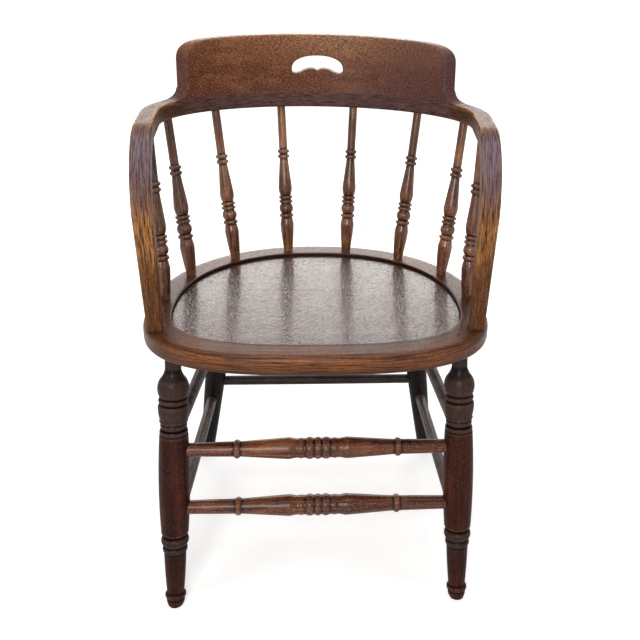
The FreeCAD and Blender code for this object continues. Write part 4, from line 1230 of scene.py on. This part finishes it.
    def _darken_turnings(self, bm: bmesh.types.BMesh) -> None:
        """Darker head and rings of a front leg, with a painted grey sheen over them.

        Args:
            bm: The leg in millimetres along +Z, with its attributes.
        """
        grime = bm.verts.layers.float["grime"]
        bloom = bm.verts.layers.float["bloom"]
        for vert in bm.verts:
            height = vert.co.z
            head = self.head_zone.of(height)
            rings = self.rings_start.of(height) * self.rings_end.of(height)
            dark = max(self.head_darkening * head, self.ring_darkening * rings, self.foot_grime.of(height),
                       self.taper_grime.of(height))
            vert[grime] = clamped(vert[grime] + dark)
            # Painted grey sheen on the head and the rings.
            vert[bloom] = self.turning_painted_sheen * max(head, rings)

    def _front_outline(self, length: float) -> Lathe:
        """Outline of a turned front leg, from below the floor into the seat.

        Args:
            length: Length of the axis from the floor to the seat's underside.

        Returns:
            The outline.
        """
        lathe = Lathe(-self.front_foot_diameter / 2, self.front_foot_diameter, self.front_turnings)
        lathe.arc(*self.neck_hollow, length - self.neck_length, self.neck_diameter)
        lathe.line(length + self.tenon, self.neck_diameter)
        return lathe

    def _back_outline(self, length: float) -> Lathe:
        """Outline of a plain back leg, from below the floor into the seat.

        Args:
            length: Length of the axis from the floor to the seat's underside.

        Returns:
            The outline.
        """
        foot = self.back_foot_diameter
        lathe = Lathe(-foot / 2, foot, (Straight(0, foot), self.back_swell))
        lathe.arc((self.back_swell.height + length) / 2, self.back_shoulder_diameter, length,
                  self.back_top_diameter)
        lathe.line(length + self.tenon, self.back_top_diameter)
        return lathe

    def _turned_stretcher(self, name: str, height: float, seed: float, finish: bpy.types.Material) -> None:
        """Turned stretcher between the front legs.

        Args:
            name: Name of the CAD node.
            height: Height of its axis.
            seed: Number that moves the figure of the wood.
            finish: Material of the stretcher.
        """
        start, end = (self.point(End.FRONT, side, height) for side in Side)
        half = (end - start).length / 2 - self.stick_inset
        lathe = Lathe(-half, self.stretcher_end_diameter, self.stretcher_turnings)
        lathe.line(half, self.stretcher_end_diameter)
        bm = lathe.turned(self.stretcher_segments, seed, self.stretcher_rub)
        stand(bm, (start + end) / 2, end)
        finished(bm, name, finish)

    def _plain(self, name: str, start: Vector, end: Vector, diameter: float,
               finish: bpy.types.Material) -> None:
        """Plain stick between two leg axes.

        Args:
            name: Name of the CAD node.
            start: Point on the first leg's axis.
            end: Point on the second leg's axis.
            diameter: Diameter at the ends.
            finish: Material of the stick.
        """
        length = (end - start).length
        lathe = Lathe(self.stick_inset, diameter)
        lathe.arc(length / 2, diameter + self.plain_swell, length - self.stick_inset, diameter)
        bm = lathe.turned(self.plain_segments, length * self.seed_by_length)
        stand(bm, start, end)
        finished(bm, name, finish)


# Spindles


@dataclass
class Spindles:
    """Eight turned spindles between the seat and the bow, with heights from the seat's top.

    Each lower bead has the rise of the groove before it, its own width and its crown's diameter.
    """

    finishes: Finishes
    inset: float = 21.0
    first_angle: float = 12.6
    angle_step: float = 23.5
    bow_runs: tuple[float, ...] = (63.0, 179.0, 277.0, 374.0)
    bow_underside: float = 680.5
    tenon: float = 8.0
    foot_diameter: float = 15.4
    swell: Round = Round(24, 21, 48, 24.6)
    neck_height: float = 60.0
    neck_diameter: float = 20.5
    groove_diameter: float = 18.6
    groove_width: float = 1.6
    lower_beads: tuple[tuple[float, float, float], ...] = ((1.6, 7.6, 25.2), (0.8, 16, 25), (1.6, 6, 24.8),
                                                           (1.6, 6, 24.8))
    taper_foot_diameter: float = 20.0
    taper_swell_diameter: float = 23.45
    taper_height: float = 114.0
    taper_diameter: float = 24.5
    waist_height: float = 165.0
    waist_diameter: float = 14.8
    upper_bead: Bead = Bead(7.4, 21)
    top_diameter: float = 13.9
    seed: float = 4.0
    seed_step: float = 0.37
    segments: int = 40

    def build(self) -> None:
        """Make the spindles, counted from the left."""
        finish = self.finishes.spindles.material()
        each_side = len(self.bow_runs)
        for side in Side:
            for place, run in enumerate(self.bow_runs):
                number = each_side + 1 + place if side is Side.RIGHT else each_side - place
                turn = math.radians(90 - self.first_angle - self.angle_step * place)
                foot = SEAT_LINE.point(turn, self.inset, SEAT_TOP)
                foot.x *= side.value
                top = BOW_LINE.at(run)
                top = Vector((side.value * top.x, top.y, self.bow_underside))
                outline = self._outline((top - foot).length)
                bm = outline.turned(self.segments, self.seed + number * self.seed_step, rub=0.0)
                stand(bm, foot, top)
                finished(bm, f"spindle_{number}", finish)

    def _outline(self, length: float) -> Lathe:
        """Outline of a spindle from the seat's top to the bow's underside.

        Args:
            length: Distance between the two.

        Returns:
            The outline.
        """
        lathe = Lathe(-self.tenon, self.foot_diameter, (Straight(0, self.foot_diameter), self.swell))
        lathe.line(self.neck_height - self.groove_width, self.neck_diameter)
        for rise, width, crown in self.lower_beads:
            lathe.line(lathe.height + rise, self.groove_diameter)
            lathe.bead(width, crown)
        lathe.line(lathe.height + self.groove_width, self.taper_foot_diameter)
        lathe.arc((lathe.height + self.taper_height) / 2, self.taper_swell_diameter, self.taper_height,
                  self.taper_diameter)
        lathe.line(self.waist_height, self.waist_diameter)
        self.upper_bead.draw(lathe)
        lathe.line(lathe.height + self.groove_width, self.waist_diameter)
        self.upper_bead.draw(lathe)
        lathe.line(length + self.tenon, self.top_diameter)
        return lathe


# Bow and crest


@dataclass
class ArmBow:
    """Bent bow that is back rail and both arms.

    The zones of its finish are runs along the bow from the middle of the back.
    """

    finishes: Finishes
    width: float = 28.0
    height: float = 25.0
    foot_width: float = 22.0
    foot_depth: float = 20.0
    edge_round: float = 4.5
    square_share: float = 0.96
    under_crest: Ramp = Ramp(228, 283, 1.0, 0.0)
    honey_bend: Ramp = Ramp(532, 585)
    honey_fades: Ramp = Ramp(605, 672, 1.0, 0.15)
    honey_side: Ramp = Ramp(385, 420, 0.0, 0.4)
    honey_side_fades: Ramp = Ramp(440, 472, 1.0, 0.0)
    honey_wear: float = 0.5
    edge_wear: Ramp = Ramp(620, 680, 0.45, 0.08)
    edge_start: float = 1.45
    edge_reach: float = 0.4
    # Painted grey sheen, a reflection, over the top of each arm's bend.
    painted_sheen_arm: Ramp = Ramp(438, 478)
    painted_sheen_thins: Ramp = Ramp(505, 540, 0.0, 0.55)
    painted_sheen_ends: Ramp = Ramp(540, 590, 0.0, 0.45)
    painted_sheen_strength: float = 0.85
    crest_bloom: float = 0.3
    crest_grime: float = 0.2
    inner_depth: float = 3.0
    inner_grime: Ramp = Ramp(380, 480, 0.3, 0.0)
    foot_grime: Ramp = Ramp(0.96, 1.0, 0.0, 0.8)
    sharp_degrees: float = 40.0
    segments: int = 64

    def build(self) -> None:
        """Make the bow."""
        finished(self._sweep(), "arm_bow", self.finishes.arms.material(), self.sharp_degrees)

    def _section(self, crisp: float) -> list[tuple[float, float]]:
        """Section of the bow: a rectangle with rounded edges, from its outer side upwards and round.

        Args:
            crisp: 1 where the upper inner edge is square, because the crest stands flush on it.

        Returns:
            Distance outwards and distance up of each point.
        """
        each = self.segments // 4
        arcs = []
        for number, (out, up) in enumerate(((1, 1), (-1, 1), (-1, -1), (1, -1))):
            radius = self.edge_round * (1 - self.square_share * crisp) if number == 1 else self.edge_round
            across, high = out * (self.width / 2 - radius), up * (self.height / 2 - radius)
            start = math.pi / 2 * number
            arcs.append([(across + radius * math.cos(start + turn), high + radius * math.sin(start + turn))
                         for turn in quarter(each // 2)])
        points = []
        for arc, following in zip(arcs, arcs[1:] + arcs[:1]):
            (x, y), (next_x, next_y) = arc[-1], following[0]
            gaps = each - len(arc) + 1
            points += arc
            points += [(x + (next_x - x) * step / gaps, y + (next_y - y) * step / gaps)
                       for step in range(1, gaps)]
        return points

    def _sweep(self) -> bmesh.types.BMesh:
        """Section carried from the left foot round the back to the right foot.

        Returns:
            The bow in metres.
        """
        half = BOW_LINE.half_path()
        half_run = sum((after.middle - here.middle).length for here, after in zip(half, half[1:]))
        bm = bmesh.new()
        notes = Notes.on(bm)
        place_layer = bm.verts.layers.int.new("place")
        made = bmesh.ops.create_circle(bm, cap_ends=True, radius=1.0, segments=self.segments)
        for vert in made["verts"]:
            turn = math.atan2(vert.co.y, vert.co.x)
            vert[place_layer] = round(turn / (2 * math.pi) * self.segments) % self.segments
        edges = bm.edges[:]
        run = 0.0
        before = None
        for station in [*(place.mirrored() for place in half[:0:-1]), *half]:
            if before:
                edges = extruded_edges(bm, edges)
                run += (station.middle - before.middle).length
            before = station
            from_middle = abs(run - half_run)
            section = self._section(self.under_crest.of(from_middle))
            wide = 1 + (self.foot_width / self.width - 1) * station.down
            deep = 1 + (self.foot_depth / self.height - 1) * station.down
            for vert in points_of(edges):
                x, y = section[vert[place_layer]]
                vert.co = (station.middle + station.outwards * x * wide + station.upwards * y * deep) * MM
                notes.write(vert, Vector((x, y, run)) * MM, *self._looks(x, y, from_middle, station.down))
        bmesh.ops.contextual_create(bm, geom=edges)
        return bm

    def _looks(self, x: float, y: float, from_middle: float, down: float) -> tuple[float, float, float]:
        """Wear, darkening and grey of a point of the bow, the grey on the arms' bends being painted sheen.

        Args:
            x: Distance outwards in the section.
            y: Distance up in the section.
            from_middle: Run from the middle of the back.
            down: Share of the way down the upright.

        Returns:
            The three.
        """
        crest = self.under_crest.of(from_middle)
        corner = abs(x) / (self.width / 2) + abs(y) / (self.height / 2)
        at_edge = clamped((corner - self.edge_start) / self.edge_reach)
        honey = max(self.honey_bend.of(from_middle) * self.honey_fades.of(from_middle),
                    self.honey_side.of(from_middle) * self.honey_side_fades.of(from_middle))
        wear = clamped(self.edge_wear.of(from_middle) * at_edge + self.honey_wear * honey) * (1 - crest)
        # Painted grey sheen over the arm's bend.
        sheen_and_haze_mask = self.painted_sheen_arm.of(from_middle) * (1 - self.painted_sheen_thins.of(from_middle)
                                                    - self.painted_sheen_ends.of(from_middle))
        inside = smooth(-x, self.width / 2 - self.inner_depth, self.width / 2)
        grime = max(self.foot_grime.of(down), self.crest_grime * crest,
                    inside * self.inner_grime.of(from_middle))
        return wear, grime, max(self.painted_sheen_strength * sheen_and_haze_mask, self.crest_bloom * crest)


Poles = tuple[tuple[float, float], ...]


@dataclass
class CrestRail:
    """Sawn board on the bow, with the handhold and hollowed ends.

    Its outlines are drawn flat, as runs along the bow and heights above it. The handhold's curves go from
    the top of its middle round to the point in its lower edge, each with its number of steps and the poles
    after its start. The end zone is given as distances inside the crest's end.
    """

    finishes: Finishes
    rise: float = 94.0
    thickness: float = 24.0
    lean: float = 10.0
    end_degrees: float = 60.0
    end_steps: int = 300
    crown: float = 3.0
    crown_step: float = 10.0
    corner_run: float = 70.0
    corner_foot: float = 60.0
    corner_handle: tuple[float, float] = (25.0, 1.8)
    corner_drop: float = 6.0
    corner_steps: int = 18
    cove_run: float = 34.0
    cove_rise: float = 17.0
    cove_steps: int = 10
    feather: float = 0.25
    edge_round: float = 4.0
    edge_segments: int = 4
    hole_round: float = 1.4
    hole_segments: int = 2
    rim_degrees: float = 60.0
    bend_step: float = 5.0
    bend_margin: float = 4.0
    rise_margin: float = 3.0
    cut_snap: float = 0.02
    bow_half_width: float = 14.0
    bow_half_height: float = 12.5
    handhold_rise: float = 34.5
    handhold_half: float = 45.4
    handhold_height: float = 25.8
    handhold_curves: tuple[tuple[int, Poles], ...] = (
        (9, ((19, 25.8), (31, 22.5), (40, 16))),
        (5, ((44, 12.4), (45.4, 8.5), (45.4, 4))),
        (6, ((45.4, -0.4), (42.3, -3.2), (37.4, -3.2))),
        (8, ((28, -3.2), (22, 4.5), (11.4, 4.5))),
        (6, ((5, 4.5), (1.5, 2.5), (0, 0))))
    grain_shift: tuple[float, float, float] = (0.4, 0.9, 0.2)
    end_zone: tuple[float, float] = (9.0, 2.0)
    edge_depth: float = 6.0
    edge_wear: float = 0.12
    # Lighter towards the top and the left, greyer towards the right.
    lighter_high: Ramp = Ramp(30, 90, 0.0, 0.5)
    lighter_left: Ramp = Ramp(20, 190, 1.0, 0.25)
    greyer_right: Ramp = Ramp(-20, 200, 0.0, 0.65)
    foot_zone: Ramp = Ramp(0, 30, 1.0, 0.0)
    foot_bloom: float = 0.25
    foot_grime: float = 0.16
    end_bloom: float = 0.5
    sharp_degrees: float = 40.0

    def build(self) -> None:
        """Make the crest."""
        bm = self._board()
        self._bevel(bm)
        self._grid(bm)
        self._bend(bm)
        finished(bm, "crest_rail", self.finishes.crest.material(), self.sharp_degrees)

    @cached_property
    def end_run(self) -> float:
        """Run along the bow's centre line from the back to the crest's end."""
        return BOW_LINE.run_to(math.radians(self.end_degrees), self.end_steps)

    @staticmethod
    def _curve_on(points: list[tuple[float, float]], steps: int, poles: Poles) -> None:
        """Carry an outline on along a Bezier curve.

        Args:
            points: The outline, whose last point is the curve's first pole.
            steps: How many points are added.
            poles: The other poles.
        """
        start = points[-1]
        for step in range(1, steps + 1):
            row = [Vector(pole) for pole in (start, *poles)]
            while len(row) > 1:
                row = [first.lerp(second, step / steps) for first, second in zip(row, row[1:])]
            points.append((row[0].x, row[0].y))

    def _top(self, run: float) -> float:
        """Height of the crest's top above the bow, which falls from its middle to its rounded corners."""
        return self.rise - self.crown * (run / (self.end_run - self.corner_run)) ** 2

    def _edge_points(self) -> list[tuple[float, float]]:
        """Right half of the outline, from the top's middle down to the foot's middle.

        Returns:
            Run and height of each point.
        """
        end = self.end_run
        shoulder = end - self.corner_run
        low = self._top(shoulder)
        handle_run, handle_drop = self.corner_handle
        points = [(run, self._top(run)) for run in stepped(0.0, shoulder, self.crown_step)]
        self._curve_on(points, self.corner_steps, ((end - handle_run, low - handle_drop),
                                                   (end, low - self.corner_drop), (end, self.corner_foot)))
        points.append((end, self.cove_rise))
        self._curve_on(points, self.cove_steps, ((end, self.feather), (end + self.cove_run, self.feather)))
        return [*points, (end + self.cove_run, 0.0), (0.0, 0.0)]

    def _handhold_points(self) -> list[tuple[float, float]]:
        """Right half of the handhold, from its top's middle down to the point in its lower edge.

        Returns:
            Run and height of each point.
        """
        points = [(0.0, self.handhold_height)]
        for steps, poles in self.handhold_curves:
            self._curve_on(points, steps, poles)
        return [(x, self.handhold_rise + y) for x, y in points]

    @staticmethod
    def _loop(bm: bmesh.types.BMesh, half: list[tuple[float, float]]) -> list[bmesh.types.BMEdge]:
        """Closed loop of edges from the right half of an outline and its mirror image.

        Args:
            bm: The mesh that gets the loop.
            half: Run and height of the right half's points, from the middle round to the middle.

        Returns:
            The edges.
        """
        full = half + [(-x, y) for x, y in half[-2:0:-1]]
        verts = [bm.verts.new((x, 0, y)) for x, y in full]
        return [bm.edges.new((first, second)) for first, second in zip(verts, verts[1:] + verts[:1])]

    def _board(self) -> bmesh.types.BMesh:
        """Flat board with its outline and the handhold cut through.

        Returns:
            The board in millimetres, with runs along +X and heights along +Z.
        """
        bm = bmesh.new()
        edges = self._loop(bm, self._edge_points()) + self._loop(bm, self._handhold_points())
        bmesh.ops.triangle_fill(bm, edges=edges, use_beauty=True)
        made = bmesh.ops.extrude_face_region(bm, geom=bm.faces[:])["geom"]
        moved = [item for item in made if isinstance(item, bmesh.types.BMVert)]
        bmesh.ops.translate(bm, verts=moved, vec=(0, self.thickness, 0))
        bmesh.ops.recalc_face_normals(bm, faces=bm.faces)
        return bm

    def _bevel(self, bm: bmesh.types.BMesh) -> None:
        """Round the edges of the handhold and of the board, but not its feathered ends.

        Args:
            bm: The flat board.
        """
        rims = [edge for edge in bm.edges
                if len(edge.link_faces) == 2 and edge.calc_face_angle() > math.radians(self.rim_degrees)
                and abs(edge.verts[0].co.y - edge.verts[1].co.y) < Lathe.TOUCH]
        above_cove = [edge for edge in rims if min(vert.co.z for vert in edge.verts) > self.cove_rise - 1]
        hole_top = self.handhold_rise + self.handhold_height + 1
        at_hole = [edge for edge in above_cove if edge.verts[0].co.z < hole_top
                   and max(abs(vert.co.x) for vert in edge.verts) < self.handhold_half + 1]
        round_rims = [edge for edge in above_cove if edge not in at_hole]
        for edges, offset, segments in ((at_hole, self.hole_round, self.hole_segments),
                                        (round_rims, self.edge_round, self.edge_segments)):
            bmesh.ops.bevel(bm, geom=edges, offset=offset, offset_type="OFFSET", segments=segments,
                            profile=0.5, affect="EDGES", clamp_overlap=False, material=-1)

    def _grid(self, bm: bmesh.types.BMesh) -> None:
        """Cut the board's faces along a grid, so that they can bend.

        Args:
            bm: The flat board.
        """
        reach = self.end_run + self.cove_run - self.bend_margin
        cuts = [(Vector((x, 0, 0)), Vector((1, 0, 0))) for x in stepped(-reach, reach, self.bend_step)]
        cuts += [(Vector((0, 0, z)), UP)
                 for z in stepped(self.bend_margin, self.rise - self.rise_margin, self.bend_step)]
        for place, across in cuts:
            bmesh.ops.bisect_plane(bm, geom=bm.verts[:] + bm.edges[:] + bm.faces[:], plane_co=place,
                                   plane_no=across, dist=self.cut_snap)

    def _bend(self, bm: bmesh.types.BMesh) -> None:
        """Bend the board to the bow, note its finish and make it metres.

        Args:
            bm: The flat board.
        """
        notes = Notes.on(bm)
        base = BOW_LINE.height + self.bow_half_height
        end_low, end_high = (self.end_run - inset for inset in self.end_zone)
        for vert in bm.verts:
            run, deep, height = vert.co
            top = self._top(run)
            at_end = smooth(abs(run), end_low, end_high)
            at_foot = self.foot_zone.of(height)
            # Worn top edge, and lighter towards the top and the left.
            worn = (self.edge_wear * smooth(height, top - self.edge_depth, top)
                    + self.lighter_high.of(height) * self.lighter_left.of(-run))
            # Greyer towards the right, at the foot and at the ends.
            sheen_and_haze_mask = self.greyer_right.of(run) + self.foot_bloom * at_foot + self.end_bloom * at_end
            notes.write(vert, Vector((deep, height, run)) * MM + Vector(self.grain_shift),
                        clamped(worn * (1 - at_end)), self.foot_grime * at_foot, clamped(sheen_and_haze_mask))
            place = BOW_LINE.curve(BOW_LINE.angle_at(run), deep - self.bow_half_width)
            vert.co = Vector((place.x, place.y + self.lean * height / self.rise, base + height)) * MM


def dress_dowels(dowels: bpy.types.Object, finishes: Finishes) -> None:
    """Give the hidden dowels, which stay as packed, their bare wood.

    Args:
        dowels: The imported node.
        finishes: Every finish of the chair.
    """
    dowels.data.materials.clear()
    dowels.data.materials.append(finishes.dowels.material())
    LOG.info("crest_dowels: %d faces", len(dowels.data.polygons))


# Studio


@dataclass(frozen=True)
class Lamp:
    """Soft rectangular lamp that faces the seat, with its sizes in metres."""

    name: str
    place: tuple[float, float, float]
    size: tuple[float, float]
    watts: float
    tint: Colour = (1.0, 1.0, 1.0)

    def build(self, target: Vector) -> None:
        """Hang the lamp.

        Args:
            target: What it faces.
        """
        light = bpy.data.lights.new(self.name, "AREA")
        light.shape = "RECTANGLE"
        light.size, light.size_y = self.size
        light.energy = self.watts
        light.color = self.tint
        lamp = bpy.data.objects.new(self.name, light)
        lamp.location = self.place
        lamp.rotation_mode = "QUATERNION"
        lamp.rotation_quaternion = (Vector(self.place) - target).to_track_quat("Z", "Y")
        lamp.visible_camera = False
        bpy.context.scene.collection.objects.link(lamp)


@dataclass
class Studio:
    """Floor, backdrop, lamps and the camera.

    The camera's eye is in millimetres, its angles are radians, and the other sizes are metres.
    """

    eye: tuple[float, float, float] = (-6.71, -1148.81, 946.76)
    yaw: float = -0.07316
    pitch: float = 0.39475
    roll: float = -0.02811
    focal_pixels: float = 779.74
    axis_pixel: tuple[float, float] = (366.17, 266.25)
    frame_pixels: float = 640.0
    sensor: float = 36.0
    white: Colour = (1.0, 1.0, 1.0)
    sky: Colour = (0.98, 0.99, 1.0)
    sky_level: float = 0.2
    floor_paint: Colour = (0.8, 0.8, 0.8)
    floor_half: float = 60.0
    floor_drop: float = 0.0005
    floor_glow: Ramp = Ramp(0.7, 2.6, 0.45, 1.0)
    lamp_target: tuple[float, float, float] = (0.0, 0.0, 0.45)
    lamps: tuple[Lamp, ...] = (
        Lamp("window_behind", (0.1, 2.6, 1.27), (3.2, 1.2), 56, (1.0, 0.95, 0.9)),
        Lamp("soft_front", (-0.4, -2.5, 1.7), (1.1, 1.1), 48),
        Lamp("soft_left", (-2.0, -1.2, 1.7), (0.8, 0.8), 8),
        Lamp("soft_right", (2.0, -1.0, 1.7), (0.8, 0.8), 5),
        Lamp("soft_top", (0.0, 0.2, 2.7), (1.6, 1.6), 24))

    def build(self) -> None:
        """Make the studio."""
        self._world()
        self._floor()
        for lamp in self.lamps:
            lamp.build(Vector(self.lamp_target))
        self._camera()

    @staticmethod
    def _seen(graph: Graph) -> bpy.types.NodeSocket:
        """Rays that show the backdrop: camera, glossy and transmission rays.

        Args:
            graph: Tree that gets the nodes.

        Returns:
            1 for those rays, 0 for the others.
        """
        path = graph.node("ShaderNodeLightPath")
        seen = graph.plus(path.outputs["Is Camera Ray"], path.outputs["Is Glossy Ray"])
        return graph.plus(seen, path.outputs["Is Transmission Ray"])

    def _world(self) -> None:
        """White backdrop, and a plain grey sky that lights the chair."""
        world = bpy.data.worlds.new("studio_world")
        bpy.context.scene.world = world
        graph = Graph(world)
        sky = graph.node("ShaderNodeBackground", {"Color": self.sky, "Strength": self.sky_level})
        backdrop = graph.node("ShaderNodeBackground", {"Color": self.white, "Strength": 1.0})
        both = graph.node("ShaderNodeMixShader", {0: self._seen(graph), 1: sky.outputs[0],
                                                  2: backdrop.outputs[0]})
        graph.feed(graph.output.inputs["Surface"], both.outputs[0])

    def _floor(self) -> None:
        """Pale floor that keeps the chair's shadow."""
        bm = bmesh.new()
        bmesh.ops.create_grid(bm, x_segments=2, y_segments=2, size=self.floor_half)
        mesh = bpy.data.meshes.new("floor")
        bm.to_mesh(mesh)
        bm.free()
        floor = bpy.data.objects.new("floor", mesh)
        floor.location = (0, 0, -self.floor_drop)
        bpy.context.scene.collection.objects.link(floor)
        paint = bpy.data.materials.new("pale_floor")
        graph = Graph(paint)
        matte = graph.node("ShaderNodeBsdfDiffuse", {"Color": self.floor_paint})
        place = graph.node("ShaderNodeTexCoord").outputs["Object"]
        away = graph.node("ShaderNodeVectorMath", {0: place}, operation="LENGTH").outputs["Value"]
        level = graph.between(away, self.floor_glow)
        glow = graph.node("ShaderNodeEmission", {"Color": self.white,
                                                 "Strength": graph.times(self._seen(graph), level)})
        both = graph.node("ShaderNodeAddShader", {0: matte.outputs[0], 1: glow.outputs[0]})
        graph.feed(graph.output.inputs["Surface"], both.outputs[0])
        mesh.materials.append(paint)

    def _camera(self) -> None:
        """Camera at the photograph's viewing angle."""
        data = bpy.data.cameras.new("camera")
        data.sensor_width = self.sensor
        data.lens = self.focal_pixels * self.sensor / self.frame_pixels
        data.shift_x = (self.frame_pixels / 2 - self.axis_pixel[0]) / self.frame_pixels
        data.shift_y = (self.axis_pixel[1] - self.frame_pixels / 2) / self.frame_pixels
        ahead = Vector((-math.sin(self.yaw) * math.cos(self.pitch),
                        math.cos(self.yaw) * math.cos(self.pitch), -math.sin(self.pitch)))
        level = Vector((math.cos(self.yaw), math.sin(self.yaw), 0))
        down = ahead.cross(level)
        right = math.cos(self.roll) * level + math.sin(self.roll) * down
        low = -math.sin(self.roll) * level + math.cos(self.roll) * down
        camera = bpy.data.objects.new("camera", data)
        turn = Matrix((right, -low, -ahead)).transposed().to_4x4()
        camera.matrix_world = Matrix.Translation(Vector(self.eye) * MM) @ turn
        bpy.context.scene.collection.objects.link(camera)
        bpy.context.scene.camera = camera


def main() -> None:
    """Build the dressed chair and its studio."""
    logging.basicConfig(level=logging.INFO, format="%(name)s: %(message)s")
    bpy.ops.wm.read_factory_settings(use_empty=True)
    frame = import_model()
    finishes = Finishes()
    Seat(finishes).build()
    Legs(finishes).build()
    Spindles(finishes).build()
    ArmBow(finishes).build()
    CrestRail(finishes).build()
    dress_dowels(frame["nodes"]["crest_dowels"], finishes)
    Studio().build()
    bpy.context.scene.view_settings.view_transform = "Standard"


if __name__ == "__main__":
    main()
